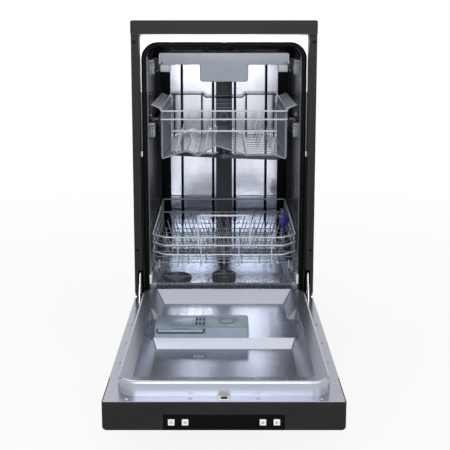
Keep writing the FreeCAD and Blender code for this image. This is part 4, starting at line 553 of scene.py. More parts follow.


# The sides' near black and the streaks down them are painted reflection; the streaks are drawn some centimetres wide,
# as the racks break up what they mirror.
tub_steel = surface("bright_annealed_steel_painted_reflection", SIDE_DARK_REFLECTION, 0.12, (24.0, 0.97), (9.0, 0.05, 0.30),
                    stretch=(1, 1, 0.012), shine=0.001)
dress(tub_steel, "tub_wrap")
back_steel = surface("satin_stainless_back", BACK_STEEL, 0.15, (55.0, 0.10), (1.2, 0.004, 0.15),
                     metallic=1.0, stretch=(1, 1, 0.7))
# Painted shade: the back is coloured darker low down, and near black on its beads, in its corners and under the roof.
banded(back_steel, BACK_PAINTED_SHADE, z=BACK_FOOT)
for x in BEADS:
    banded(back_steel, BEAD_SHADOW, x=(x - BEAD_HALF, x + BEAD_HALF))
for x in BACK_CORNERS:
    banded(back_steel, BEAD_SHADOW, x=(x - CORNER_HALF, x + CORNER_HALF))
banded(back_steel, BEAD_SHADOW, z=BACK_HEAD)
dress(back_steel, "tub_back")
floor_steel = surface("satin_stainless_floor", FLOOR_STEEL, 0.26, (40.0, 0.10), (1.2, 0.001, 0.15),
                      metallic=0.8, stretch=(0.15, 1, 1))
# Painted shade: a darker band across the front of the floor at the sill.
banded(floor_steel, SILL_SHADE_STEEL, y=SILL_DEPTH, z=SILL_HEIGHT)
dress(floor_steel, "tub_floor")
flange_steel = surface("bright_flange_steel", FLANGE, 0.32, (40.0, 0.02), (1.0, 0.002, 0.1), metallic=0.7)
# Painted shade: the flange is coloured grey down its sides, and black at the sill and low down at its outer edges.
banded(flange_steel, FLANGE_SHADE, z=FLANGE_SIDES)
banded(flange_steel, SILL_SHADOW, z=SILL_HEIGHT)
banded(flange_steel, SILL_SHADOW, x=(-FLANGE_OUT, -FLANGE_IN), z=FLANGE_DARK)
banded(flange_steel, SILL_SHADOW, x=(FLANGE_IN, FLANGE_OUT), z=FLANGE_DARK)
dress(flange_steel, "tub_front_flange", "latch_strike")
rubber = surface("epdm_seal", SEAL, 0.55, (12.0, 0.12), (0.8, 0.04, 0.12), shine=0.08)
softened("door_gasket", 2.5, rubber, steps=3)
bent_wire, given = tree_of("bent_wire", "Radius", "Bend")
section = add(bent_wire, "GeometryNodeCurvePrimitiveCircle", {"Resolution": 8, "Radius": given["Radius"]})
swept_tree(bent_wire, given, section, 6)
mouth_steel = surface("polished_steel_edge", MOUTH_STEEL, 0.30, (20.0, 0.04), (0.8, 0.004, 0.1), metallic=0.7)
edge_lines = [[(x, MOUTH_Y, z) for z in MOUTH_HEIGHT] for x in MOUTH_EDGES]
placed(grown("tub_edge_bead", bent_wire, edge_lines, mouth_steel, Radius=1.1, Bend=0.0), "cabinet", "tub_steel")
ramp_white = surface("moulded_acetal", ACETAL_WHITE, 0.38, (18.0, 0.04), (0.8, 0.02, 0.1))
softened("corner_ramps", 1.2, ramp_white)
placed(blocks("mouth_corner_blocks", both_sides(*MOUTH_BLOCKS), 1.5, ramp_white), "cabinet", "pale_plastic")
placed(blocks("mouth_corner_plates", both_sides(MOUTH_PLATE), 0.5, mouth_steel), "cabinet", "tub_steel")

# Balance springs: wound steel wire under the tub's sides, hooked between the hinge brackets and the base.
# They are drawn as open coils, with a small gap between the turns, in the place that the solid holds.
SPRING_STEEL = "#5b5e63"
SPRING_TURN = 5.0
SPRING_WIRE = 1.7
SPRING_STEPS = 14
spring_steel = surface("oiled_spring_steel", SPRING_STEEL, 0.34, (10.0, 0.10), (0.7, 0.01, 0.15), metallic=1.0)


def helix(start, radius, pitch, steps, count):
    """The points of a coil along y, in mm: so many steps to a turn, and so many points in all."""
    x, y, z = start
    ring = round_points(steps, radius)
    return [(x + ring[i % steps][0], y + pitch * i / steps, z + ring[i % steps][1]) for i in range(count)]


coils = []
for low, high in islands("balance_springs"):
    start = ((low.x + high.x) / 2, low.y + 2 * SPRING_WIRE, (low.z + high.z) / 2)
    count = int((high.y - low.y - 4 * SPRING_WIRE) / SPRING_TURN * SPRING_STEPS)
    coils.append(helix(start, (high.x - low.x) / 2 - SPRING_WIRE, SPRING_TURN, SPRING_STEPS, count + 1))
placed(grown("wound_balance_springs", bent_wire, coils, spring_steel, Radius=SPRING_WIRE, Bend=0.0), "cabinet",
       "galvanised_steel", "balance_springs")

# Door: a brushed stainless inner pressing with a raised plug and a stepped basin, on two bright steel arms.
# A cream latch sits in its near edge, and three small dimples are pressed into the deep floor.
# The brush lines are drawn about a millimetre apart, coarser than real ones, so that they show.
DOOR_STEEL = "#a2a6b1"
LIT_SLOPE_STEEL = "#d2d6e2"
SHADED_JOG_STEEL = "#6a6d77"
SHADED_RIM_STEEL = "#8c909c"
FRONT_STEEL = "#a8acb8"
ARM_STEEL = "#dcdfe4"
LATCH_CREAM, LATCH_DARK = "#d9d4c3", "#141413"
BRUSH = ((80.0, 0.02), (1.1, 0.0003, 0.06))
BRUSHED_ACROSS, BRUSHED_ALONG = (0.03, 1, 1), (1, 0.03, 1)
NEAR_WALL = -548.0
WELL_TOP = 140.0
LEVEL = 0.98
HINGE_SHADOW_COVER = ((212.0, 223.6), (52.8, 62.0), (163.0, 171.6))
LATCH_SLOT = {"x": (-6.0, 6.0), "y": (-582.0, -571.5)}
DIMPLES, DIMPLE_FLOOR = ((-61.5, -340.0), (-53.7, -340.0), (-46.0, -340.0)), 153
DIMPLE_PROFILE = ((3.2, -0.3), (3.0, 0.3), (2.2, 0.9), (1.1, 1.2), (0, 1.3))
door_steel = surface("brushed_stainless", DOOR_STEEL, 0.24, *BRUSH, metallic=0.95, stretch=BRUSHED_ACROSS)
dress(door_steel, "inner_door_panel")
pressing = frame["nodes"]["inner_door_panel"].data
# Copies of the steel by the way each face of the pressing turns: the slopes towards the front lighter, a painted
# highlight; the jogs and the level rims darker, painted shade; the near wall less metallic.
for name, colour, roughness, metallic, stretch in (
        ("stainless_slopes_painted_highlight", LIT_SLOPE_STEEL, 0.42, 0.25, BRUSHED_ACROSS),
        ("stainless_jogs_painted_shade", SHADED_JOG_STEEL, 0.42, 0.25, BRUSHED_ACROSS),
        ("brushed_stainless_rim_painted_shade", SHADED_RIM_STEEL, 0.26, 0.8, BRUSHED_ALONG),
        ("satin_stainless_front", FRONT_STEEL, 0.34, 0.6, BRUSHED_ACROSS)):
    pressing.materials.append(surface(name, colour, roughness, *BRUSH, metallic=metallic, stretch=stretch))
SLOPES, JOGS, RIMS, FRONTS = 1, 2, 3, 4
plug_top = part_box("inner_door_panel")[1].z
for face in pressing.polygons:
    aside, along, up = abs(face.normal.x), face.normal.y, face.normal.z
    height = face.center.z
    if face.center.y < NEAR_WALL * MM and up < LEVEL:
        face.material_index = FRONTS
    elif -0.7 < along < -0.2 and up > 0.3:
        face.material_index = SLOPES if aside < 0.2 else JOGS
    elif along < -0.6 and height > WELL_TOP * MM and aside < 0.9:
        face.material_index = JOGS
    elif up > LEVEL and (height > plug_top - 2 * MM or height < WELL_TOP * MM):
        face.material_index = RIMS
arm_steel = surface("bright_zinc_strap", ARM_STEEL, 0.32, (20.0, 0.05), (0.9, 0.01, 0.15), metallic=0.55)
dress(arm_steel, "hinge_arms")
# Painted shadow: dark blocks at the hinges, drawn as hinge covers, stand in for the shadow between the cabinet's
# posts and the door.
placed(blocks("hinge_shadow_covers", both_sides(HINGE_SHADOW_COVER), 1.0, base_plastic), "door", "dark_plastic")
latch_cream = surface("moulded_nylon", LATCH_CREAM, 0.42, (14.0, 0.05), (0.8, 0.02, 0.12))
banded(latch_cream, LATCH_DARK, **LATCH_SLOT)
softened("door_latch", 0.8, latch_cream)
work = bmesh.new()
for x, y in DIMPLES:
    turned(work, DIMPLE_PROFILE, (x, y, DIMPLE_FLOOR), UP, 20)
placed(mesh_piece("door_dimples", work, door_steel), "door", "tub_steel")

# Control panel: the door's near edge in black moulded ABS, with a glossy black window let into it flush,
# four white push buttons with small generic marks, and a board on clips behind.
FASCIA = "#1f1f20"
WINDOW = "#050506"
BUTTON = "#d3d4de"
MARK = "#23253a"
BOARD = "#1f4a2c"
MARK_RING = round_points(16, 2.4)
MARKS = {
    "left_outer_button": (MARK_RING + MARK_RING[:1], ((0, 0.8), (0, 3.4))),
    "left_inner_button": (((-2.6, 1.6), (2.6, 1.6)), ((-2.6, 0), (2.6, 0)), ((-2.6, -1.6), (2.6, -1.6))),
    "right_inner_button": (((-2.4, -2), (2.4, -2), (0, 2.4), (-2.4, -2)),),
    "right_outer_button": (((-1.6, -2.4), (2.2, 0), (-1.6, 2.4), (-1.6, -2.4)),),
}
fascia_abs = surface("moulded_abs", FASCIA, 0.46, (22.0, 0.06), (0.9, 0.03, 0.12), shine=0.12)
softened("control_panel", 1.2, fascia_abs)
window_gloss = surface("gloss_acrylic", WINDOW, 0.12, (30.0, 0.05), (2.5, 0.002, 0.2), shine=0.06)
softened("display_window", 0.5, window_gloss)
button_gloss = surface("gloss_white_abs", BUTTON, 0.28, (8.0, 0.03), (0.9, 0.006, 0.12), coat=0.2)
mark_ink = surface("grey_pad_print", MARK, 0.5, (2.0, 0.06), (0.4, 0.01, 0.1))


def box_mm(node):
    """The lowest and highest corner of a CAD node's box, in mm."""
    return [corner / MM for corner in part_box(node)]


for node, strokes in MARKS.items():
    low, high = box_mm(node)
    cap = [((low.x, high.x), (low.y + 0.4, high.y), (low.z, high.z))]
    placed(blocks(node + "_cap", cap, 1.3, button_gloss, steps=3), node, "button_plastic", node)
    x, z = (low.x + high.x) / 2, (low.z + high.z) / 2
    lines = [[(x + across, low.y + 0.5, z + up) for across, up in stroke] for stroke in strokes]
    placed(grown(node + "_mark", bent_wire, lines, mark_ink, Radius=0.42, Bend=0.2), node, "button_plastic")
board_green = surface("solder_resist_board", BOARD, 0.4, (10.0, 0.08), (1.0, 0.02, 0.1))
dress(board_green, "control_board")

# Dispenser: a grey-blue moulded box let into the bay, with a sprung lid on the left and a rinse-aid cap on
# the right. The lid has two rows of vent slots, and below it the front has a dark slot with a pale grip.
DISPENSER = "#838f9c"
LID = "#7c8895"
GRIP = "#a9b6c2"
SHADOW_AND_PRINT_DARK = "#0c0e11"
VENT_COLUMNS, VENT_ROWS, VENT_LENGTH = (-61.0, -53.0, -45.0), (-246.0, -219.0), 16.0
SLOT_ENDS, SLOT_FOOT, SLOT_HEAD = (-146.0, -44.0), 178.0, 187.0
GRIP_ENDS, GRIP_HEIGHT = (-142.0, -48.0), 183.4
SEAM_HEIGHT = (189.0, 172.0)
TICK_ANGLES, TICK_RADII, TICK_HEIGHT = (30, 60, 90, 120, 150), (19.0, 22.0), 190.1
GAP_HEIGHT = 190.0
dispenser_plastic = surface("moulded_polypropylene_blue_grey", DISPENSER, 0.40, (16.0, 0.05), (0.8, 0.02, 0.12))
lid_plastic = surface("moulded_polypropylene_lid", LID, 0.36, (16.0, 0.05), (0.8, 0.02, 0.12))
# This dark is painted shadow in the lid's vent slots, the front slot, the seam beside the lid and the gap round the
# rinse-aid cap; the setting ticks are printed in it.
slot_shadow_and_print = surface("slot_shadow_and_tick_print", SHADOW_AND_PRINT_DARK, 0.6, (4.0, 0.10), (0.6, 0.02, 0.1))
grip_plastic = surface("moulded_polypropylene_grip", GRIP, 0.34, (16.0, 0.05), (0.8, 0.02, 0.12))
softened("dispenser_body", 1.6, dispenser_plastic, corner=9.0)
softened("dispenser_lid", 1.1, lid_plastic)
softened("rinse_aid_cap", 0.7, dispenser_plastic)
lid_low, lid_high = box_mm("dispenser_lid")
vents = [[(x, y, lid_high.z), (x, y + VENT_LENGTH, lid_high.z)] for x in VENT_COLUMNS for y in VENT_ROWS]
placed(grown("lid_vents", flat_bar, vents, slot_shadow_and_print, Width=4.2, Height=0.5, Round=0.2, Bend=0), "dispenser_lid",
       "dispenser_plastic")
front_y = lid_low.y - 1.3
front_slot = [[(SLOT_ENDS[0], front_y, SLOT_HEAD), (SLOT_ENDS[0], front_y, SLOT_FOOT),
               (SLOT_ENDS[1], front_y, SLOT_FOOT), (SLOT_ENDS[1], front_y, SLOT_HEAD)]]
placed(grown("dispenser_front_slot", flat_bar, front_slot, slot_shadow_and_print, Width=3.6, Height=0.8, Round=0.3, Bend=3.0),
       "door", "dispenser_plastic")
grip = [[(x, front_y, GRIP_HEIGHT) for x in GRIP_ENDS]]
placed(grown("dispenser_front_grip", flat_bar, grip, grip_plastic, Width=3.6, Height=1.0, Round=0.3, Bend=0),
       "door", "dispenser_plastic")
cap_low, cap_high = box_mm("rinse_aid_cap")
cap_x, cap_y = (cap_low.x + cap_high.x) / 2, (cap_low.y + cap_high.y) / 2
ticks = [[(cap_x + radius * math.cos(angle), cap_y + radius * math.sin(angle), TICK_HEIGHT)
          for radius in TICK_RADII] for angle in [math.radians(degrees) for degrees in TICK_ANGLES]]
placed(grown("rinse_setting_ticks", bent_wire, ticks, slot_shadow_and_print, Radius=0.4, Bend=0.0), "door",
       "dispenser_plastic")
seam = [[(lid_high.x + 1.0, front_y, z) for z in SEAM_HEIGHT]]
placed(grown("dispenser_front_seam", flat_bar, seam, slot_shadow_and_print, Width=0.8, Height=0.8, Round=0.2, Bend=0), "door",
       "dispenser_plastic")
cap_gap = [(cap_x + across, cap_y + along, GAP_HEIGHT)
           for across, along in round_points(40, (cap_high.x - cap_low.x) / 2 + 0.4)]
placed(grown("rinse_cap_gap", bent_wire, [cap_gap + cap_gap[:1]], slot_shadow_and_print, Radius=0.6, Bend=0.0), "door",
       "dispenser_plastic")

# Sump and filter: a perforated steel plate round a ribbed black filter cup that lifts out of the sump.
# The plate is punched with round holes on a triangular pitch.
DARK = "#212429"
RIB_HIGHLIGHT = "#50555c"
PLATE = "#b5b9c0"
HOLE_PITCH, HOLE_RADIUS, HOLE_ROWS = 5.2, 1.5, 12
PLATE_OUTER, PLATE_BORE, PLATE_THICK, PLATE_MARGIN = 57.0, 28.0, 1.6, 5
OUTER_RIM = ((PLATE_OUTER - 7, -1.6), (PLATE_OUTER, -1.6), (PLATE_OUTER, -0.4), (PLATE_OUTER - 0.6, 0.2),
             (PLATE_OUTER - 7, 0.2), (PLATE_OUTER - 7, -1.6))
BORE_RIM = ((PLATE_BORE, -1.6), (PLATE_BORE + 8, -1.6), (PLATE_BORE + 8, 0.2), (PLATE_BORE, 0.2),
            (PLATE_BORE, -1.6))
CUP_RIBS, CUP_RIB_RADIUS = 26, 29.8
dark_plastic = surface("moulded_black_polypropylene", DARK, 0.42, (15.0, 0.08), (0.8, 0.03, 0.12))
# Painted highlight: the ribs of the filter cup and the salt cap are a lighter grey than the cup.
rib_highlight_plastic = surface("black_polypropylene_rib_highlight", RIB_HIGHLIGHT, 0.34, (15.0, 0.08), (0.8, 0.02, 0.12))
plate_steel = surface("punched_stainless", PLATE, 0.30, (30.0, 0.05), (0.9, 0.005, 0.15), metallic=0.8)
punched, given = tree_of("punched_sheet", "Pitch", "Hole")
hole = add(punched, "GeometryNodeCurvePrimitiveCircle", {"Resolution": 12, "Radius": given["Hole"]})
reach = add(punched, "ShaderNodeMath", {0: given["Pitch"], 1: 1 / math.sqrt(3)}, operation="MULTIPLY")
cell = add(punched, "GeometryNodeCurvePrimitiveCircle", {"Resolution": 6, "Radius": reach.outputs[0]})
turn = add(punched, "GeometryNodeTransform", {"Geometry": cell.outputs[0], "Rotation": (0, 0, math.pi / 6)})
both = add(punched, "GeometryNodeJoinGeometry")
for part in (turn, hole):
    punched.links.new(part.outputs[0], both.inputs[0])
set_on_places(punched, given, add(punched, "GeometryNodeFillCurve", {"Curve": both.outputs[0]}, mode="TRIANGLES"))
cup_low, cup_high = box_mm("filter_cup")
sump_y = (cup_low.y + cup_high.y) / 2
plate_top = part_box("filter_plate")[1].z / MM
hole_places = []
for j in range(-HOLE_ROWS, HOLE_ROWS + 1):
    for i in range(-HOLE_ROWS, HOLE_ROWS + 1):
        x, y = HOLE_PITCH * (i + 0.5 * (j % 2)), HOLE_PITCH * math.sqrt(3) / 2 * j
        if PLATE_BORE + PLATE_MARGIN < math.hypot(x, y) < PLATE_OUTER - PLATE_MARGIN:
            hole_places.append([(x, sump_y + y, plate_top)])
sheet_piece = grown("punched_filter_plate", punched, hole_places, plate_steel, Pitch=HOLE_PITCH, Hole=HOLE_RADIUS)
work = bmesh.new()
work.from_mesh(sheet_piece.data)
bmesh.ops.remove_doubles(work, verts=work.verts, dist=0.02 * MM)
bmesh.ops.recalc_face_normals(work, faces=work.faces)
bmesh.ops.reverse_faces(work, faces=[face for face in work.faces if face.normal.z < 0])
work.to_mesh(sheet_piece.data)
work.free()
thicken = sheet_piece.modifiers.new("gauge", "SOLIDIFY")
thicken.thickness = PLATE_THICK * MM
thicken.offset = -1.0
sheet_piece.data = bpy.data.meshes.new_from_object(
    sheet_piece.evaluated_get(bpy.context.evaluated_depsgraph_get()))
sheet_piece.modifiers.clear()
placed(sheet_piece, "cabinet", "tub_steel", "filter_plate")
work = bmesh.new()
for profile in (OUTER_RIM, BORE_RIM):
    turned(work, profile, (0, sump_y, plate_top), UP, 48)
bmesh.ops.remove_doubles(work, verts=work.verts, dist=0.01 * MM)
placed(mesh_piece("filter_plate_rims", work, plate_steel), "cabinet", "tub_steel")
softened("filter_cup", 0.9, dark_plastic)
cup_ribs = [[(across, sump_y + along, z) for z in (plate_top + 3, cup_high.z - 1.5)]
            for across, along in round_points(CUP_RIBS, CUP_RIB_RADIUS)]
placed(grown("filter_cup_ribs", flat_bar, cup_ribs, rib_highlight_plastic, Width=2.2, Height=2.2, Round=0.7, Bend=0),
       "filter_cup", "dark_plastic")

# Softener: a pale blow-moulded tank under the floor, closed by a dark screw cap in the tub.
# The cap has a cross grip and a knurled rim, whose ribs are coloured lighter, a painted highlight.
TANK_PALE = "#d7d9d6"
SALT_RIBS, SALT_RIB_FOOT = 36, 178.0
tank_plastic = surface("blow_moulded_polypropylene", TANK_PALE, 0.45, (30.0, 0.05), (0.9, 0.03, 0.12))
softened("salt_tank", 3.0, tank_plastic)
salt_low, salt_high = box_mm("salt_cap")
softened("salt_cap", 1.2, dark_plastic)
salt_x, salt_y = (salt_low.x + salt_high.x) / 2, (salt_low.y + salt_high.y) / 2
knurl = [[(salt_x + across, salt_y + along, z) for z in (SALT_RIB_FOOT, salt_high.z - 1.5)]
         for across, along in round_points(SALT_RIBS, (salt_high.x - salt_low.x) / 2 - 0.4)]
placed(grown("salt_cap_knurl", flat_bar, knurl, rib_highlight_plastic, Width=2.0, Height=2.0, Round=0.6, Bend=0), "salt_cap",
       "dark_plastic")

# Water path: a flat feed pipe up the back wall with ribs and two ports, a roof sprinkler, a riser tube and
# two spray arms with raised jets, all moulded in dark grey polypropylene.
PIPE_GREY = "#3a3d47"
PORT_HIGHLIGHT_GREY = "#8b909c"
ARM_GREY = "#3f434a"
PIPE_FACE = 547.3
PIPE_RIB_HALF, PIPE_RIBS = 21.0, (594, 606, 618, 630)
PORTS, PORT_LENGTH, PORT_RINGS = (514.0, 567.0), 8.0, (9.2, 13.6)
JET, JET_RISE, JET_MOUTH = 3.2, 1.6, 0.55
JETS = ((-140, 2), (-112, -4), (-84, 5), (-52, -6), (52, 6), (84, -5), (112, 4), (140, -2))
ARM_TURNS = {"lower_spray_arm": 0.0, "upper_spray_arm": -16.0}
pipe_plastic = surface("moulded_polypropylene_grey", PIPE_GREY, 0.45, (18.0, 0.06), (0.8, 0.03, 0.12))
# Painted highlight: the pipe's ribs and port rings are a lighter grey than the pipe.
port_highlight_plastic = surface("moulded_polypropylene_port_highlight", PORT_HIGHLIGHT_GREY, 0.40, (18.0, 0.06), (0.8, 0.03, 0.12))
arm_plastic = surface("moulded_polypropylene_arm", ARM_GREY, 0.42, (18.0, 0.06), (0.8, 0.03, 0.12))
softened("feed_pipe", 2.5, pipe_plastic)
pipe_ribs = [[(-PIPE_RIB_HALF, PIPE_FACE, z), (PIPE_RIB_HALF, PIPE_FACE, z)] for z in PIPE_RIBS]
placed(grown("feed_pipe_ribs", flat_bar, pipe_ribs, port_highlight_plastic, Width=2.4, Height=2.4, Round=0.7, Bend=0),
       "cabinet", "dark_plastic")
port_rings = [[(across, PIPE_FACE - PORT_LENGTH, z + up) for across, up in round_points(24, radius)]
              for z in PORTS for radius in PORT_RINGS]
placed(grown("feed_pipe_port_rings", bent_wire, [ring + ring[:1] for ring in port_rings], port_highlight_plastic,
             Radius=1.3, Bend=0.0), "cabinet", "dark_plastic")
softened("spray_feed_tube", 1.5, pipe_plastic)
jet_ring, given = tree_of("jet_rings", "Jet", "Rise")
narrow = add(jet_ring, "ShaderNodeMath", {0: given["Jet"], 1: JET_MOUTH}, operation="MULTIPLY")
barrel = add(jet_ring, "GeometryNodeMeshCylinder", {"Vertices": 14, "Radius": given["Jet"],
                                                    "Depth": given["Rise"]})
bore = add(jet_ring, "GeometryNodeMeshCylinder", {"Vertices": 14, "Radius": narrow.outputs[0],
                                                  "Depth": given["Rise"]})
lifted = add(jet_ring, "ShaderNodeCombineXYZ", {2: given["Rise"]})
half_way = add(jet_ring, "ShaderNodeVectorMath", {0: lifted.outputs[0], 1: (0.5, 0.5, 0.5)}, operation="MULTIPLY")
moved = add(jet_ring, "GeometryNodeTransform", {"Geometry": bore.outputs[0], "Translation": half_way.outputs[0]})
set_on_places(jet_ring, given, add(jet_ring, "GeometryNodeMeshBoolean", {
    "Mesh 1": barrel.outputs[0], "Mesh 2": moved.outputs[0]}, operation="DIFFERENCE"))
for node, degrees in ARM_TURNS.items():
    softened(node, 1.8, arm_plastic, steps=3)
    low, high = box_mm(node)
    y, top = (low.y + high.y) / 2, high.z - 2.0
    turn = math.radians(degrees)
    spots = [[(x * math.cos(turn) - dy * math.sin(turn), y + x * math.sin(turn) + dy * math.cos(turn), top)]
             for x, dy in JETS]
    placed(grown(node + "_jets", jet_ring, spots, arm_plastic, Jet=JET, Rise=JET_RISE), node, "dark_plastic")

# Machinery in the base: a circulation pump with a ribbed motor, a drain pump, and the rear connections,
# which are a threaded water inlet, a drain spout and a terminal box with a cable gland.
NYLON_PALE = "#c9cac6"
PUMP_X, PUMP_Z, PUMP_RADIUS = 70.0, 84.0, 44.0
PUMP_RIBS, PUMP_RIB_SPAN = 22, (382.0, 426.0)
INLET, INLET_RADIUS = (150.0, 568.0, 78.0), 13.2
THREAD_PITCH, THREAD_STEPS, THREAD_TURNS = 2.3, 24, 5
softened("circulation_pump", 2.5, dark_plastic)
softened("drain_pump", 2.0, dark_plastic)
motor_ribs = [[(PUMP_X + across, y, PUMP_Z + up) for y in PUMP_RIB_SPAN]
              for across, up in round_points(PUMP_RIBS, PUMP_RADIUS - 0.6)]
placed(grown("pump_motor_ribs", flat_bar, motor_ribs, dark_plastic, Width=2.6, Height=2.6, Round=0.6, Bend=0),
       "cabinet", "dark_plastic")
service_plastic = surface("glass_filled_nylon", NYLON_PALE, 0.45, (14.0, 0.05), (0.8, 0.03, 0.12))
softened("service_connections", 1.0, service_plastic)
thread = [helix(INLET, INLET_RADIUS, THREAD_PITCH, THREAD_STEPS, THREAD_STEPS * THREAD_TURNS)]
placed(grown("inlet_thread", bent_wire, thread, service_plastic, Radius=0.55, Bend=0.0), "cabinet", "pale_plastic")

# Rails: rolled steel channels that carry the tray and the upper basket, in grey moulded guides on the tub's
# sides, each with a grey pronged end cap.
GREY = "#9b9fa6"
CAP_GREY = "#7a7f88"
RAIL_STEEL = "#a7abb2"
RAIL_HEIGHTS = {"tray_rails": 735.0, "basket_rails": 577.0}
RAIL_IN, RAIL_OUT, RAIL_HALF, RAIL_GAUGE = 172.0, 184.0, 13.0, 1.2
RAIL_SPAN, CAP_SPAN, CAP_PLATE = (104.3, 524.3), (92.3, 104.3), (98.3, 104.3)
PRONG = 8
grey_plastic = surface("moulded_polypropylene_grey_light", GREY, 0.42, (16.0, 0.05), (0.8, 0.03, 0.12))
cap_plastic = surface("moulded_polypropylene_cap", CAP_GREY, 0.42, (16.0, 0.05), (0.8, 0.03, 0.12))
rail_steel = surface("rolled_stainless_rail", RAIL_STEEL, 0.28, (40.0, 0.05), (0.9, 0.004, 0.15), metallic=1.0,
                     stretch=(1, 0.05, 1))
for node, height in RAIL_HEIGHTS.items():
    foot, top = height - RAIL_HALF, height + RAIL_HALF
    web, lip = (RAIL_OUT - RAIL_GAUGE, RAIL_OUT), (RAIL_IN, RAIL_OUT)
    prong, heel = (RAIL_IN + 1.0, RAIL_OUT - 5.0), (RAIL_OUT - 4.0, RAIL_OUT)
    strips = both_sides((web, RAIL_SPAN, (foot, top)), (lip, RAIL_SPAN, (foot, foot + RAIL_GAUGE)),
                        (lip, RAIL_SPAN, (top - RAIL_GAUGE, top)))
    caps = both_sides((lip, CAP_PLATE, (foot, top)), (prong, CAP_SPAN, (foot, foot + PRONG)),
                      (prong, CAP_SPAN, (top - PRONG, top)), (heel, CAP_SPAN, (foot + 2, top - 2)))
    placed(blocks(node + "_channels", strips, 0.4, rail_steel), node, "galvanised_steel", node)
    placed(blocks(node + "_end_caps", caps, 1.6, cap_plastic, steps=3), node, "rack_plastic")
softened("rail_guides", 0.9, grey_plastic)

# Cutlery tray: a grey moulded tray with a slotted floor, three compartments and runners in the rails.
# Its front bar has a deep grip in the middle and is moulded in a blue grey, with pale clips; its top edge is coloured
# paler, a painted highlight.
TRAY = "#878b93"
TRAY_FRONT = "#868d99"
TRAY_CLIP_AND_TOP_HIGHLIGHT = "#aab0bc"
TRAY_STOP = ((133.0, 158.0), (95.0, 112.0), (724.0, 743.0))
CLIP_FOOT = 744.0
tray_plastic = surface("moulded_polypropylene_tray", TRAY, 0.42, (16.0, 0.05), (0.8, 0.03, 0.12))
front_plastic = surface("moulded_polypropylene_blue_grey_pale", TRAY_FRONT, 0.38, (18.0, 0.05), (0.8, 0.02, 0.12))
softened("cutlery_tray", 0.5, tray_plastic, steps=1)
low, high = box_mm("cutlery_tray_front")
# Painted highlight: the top edge of the front bar is coloured paler.
banded(front_plastic, TRAY_CLIP_AND_TOP_HIGHLIGHT, z=(high.z - 3.0, high.z + 1.0))
softened("cutlery_tray_front", 3.2, front_plastic, steps=4)
edge_plastic = surface("moulded_polypropylene_clip", TRAY_CLIP_AND_TOP_HIGHLIGHT, 0.38, (18.0, 0.05), (0.8, 0.02, 0.12))
clips = both_sides(((high.x - 1.5, high.x + 2.6), (low.y + 1.0, high.y - 2.0), (CLIP_FOOT, high.z - 1.5)))
placed(blocks("cutlery_tray_clips", clips, 1.6, edge_plastic, steps=3), "cutlery_tray", "tray_plastic")
placed(blocks("cutlery_tray_stops", both_sides(TRAY_STOP), 3.0, grey_plastic, steps=3), "cutlery_tray",
       "rack_plastic")

# Upper basket: round steel wire dipped in grey nylon. Two bright bars run across its front and back along
# its sides, and thinner wires fold into ridges that hold the cups. The rear rim steps down in the middle.
WIRE, TINE_WIRE, THIN_WIRE = 2.0, 1.7, 1.3
WIRE_BEND = 8.0
NYLON = "#c3c7d3"
SHADED_NYLON = "#8a8e97"
DEEP_SHADE_NYLON = "#1b1d23"
UPPER_SIDE, UPPER_NEAR, UPPER_FAR = 158.0, 92.3, 528.3
UPPER_LOW_HALF, UPPER_TUCK = 131.0, 26.0
UPPER_FLOOR, UPPER_LOW, UPPER_MID, UPPER_RIM = 508.0, 578.0, 607.0, 628.0
REAR_RIM, REAR_DIP, DIP_HALF = 636.0, 627.0, 62.0
REAR_UPRIGHTS = (-148.0, -66.0, 66.0, 148.0)
UPPER_UPRIGHTS = (4.0 - UPPER_LOW_HALF, -26.0, 26.0, UPPER_LOW_HALF - 4.0)
RIDGE_HALF = UPPER_SIDE - 5.0
RIDGE = ((-1, 0), (-0.6, 20), (-0.43, 5), (-0.14, 33), (0.36, 8), (0.8, 9), (1, 0))
UPPER_WIRES = 12
UPPER_TINES = ((-122.0, 10.0), (-72.0, -12.0), (-50.0, 9.0), (60.0, -10.0), (88.0, 14.0), (120.0, 10.0))
UPPER_TINE_ROWS, UPPER_TINE_RISE = 4, 58.0
RUNNER_REACH, RUNNER_HEIGHT, RUNNER_LENGTH = (160.0, 182.4), (565.6, 588.4), 30.0
RUNNER_STARTS = (316.3, 434.3)
wire_nylon = surface("nylon_coated_wire", NYLON, 0.36, (9.0, 0.06), (0.7, 0.015, 0.12))
# Painted shade: the upper basket's floor wires and, in the lower basket, the rear bars, floor wires and tines are a
# darker copy of the coated wire, and the upper basket's rear wires are near black.
shaded_nylon = surface("nylon_coated_wire_painted_shade", SHADED_NYLON, 0.36, (9.0, 0.06), (0.7, 0.015, 0.12))
deep_shade_nylon = surface("nylon_coated_wire_deep_painted_shade", DEEP_SHADE_NYLON, 0.40, (9.0, 0.06), (0.7, 0.015, 0.12), shine=0.3)


def spread(first, last, count):
    """Evenly spaced places from the first to the last."""
    return [first + (last - first) * i / (count - 1) for i in range(count)]


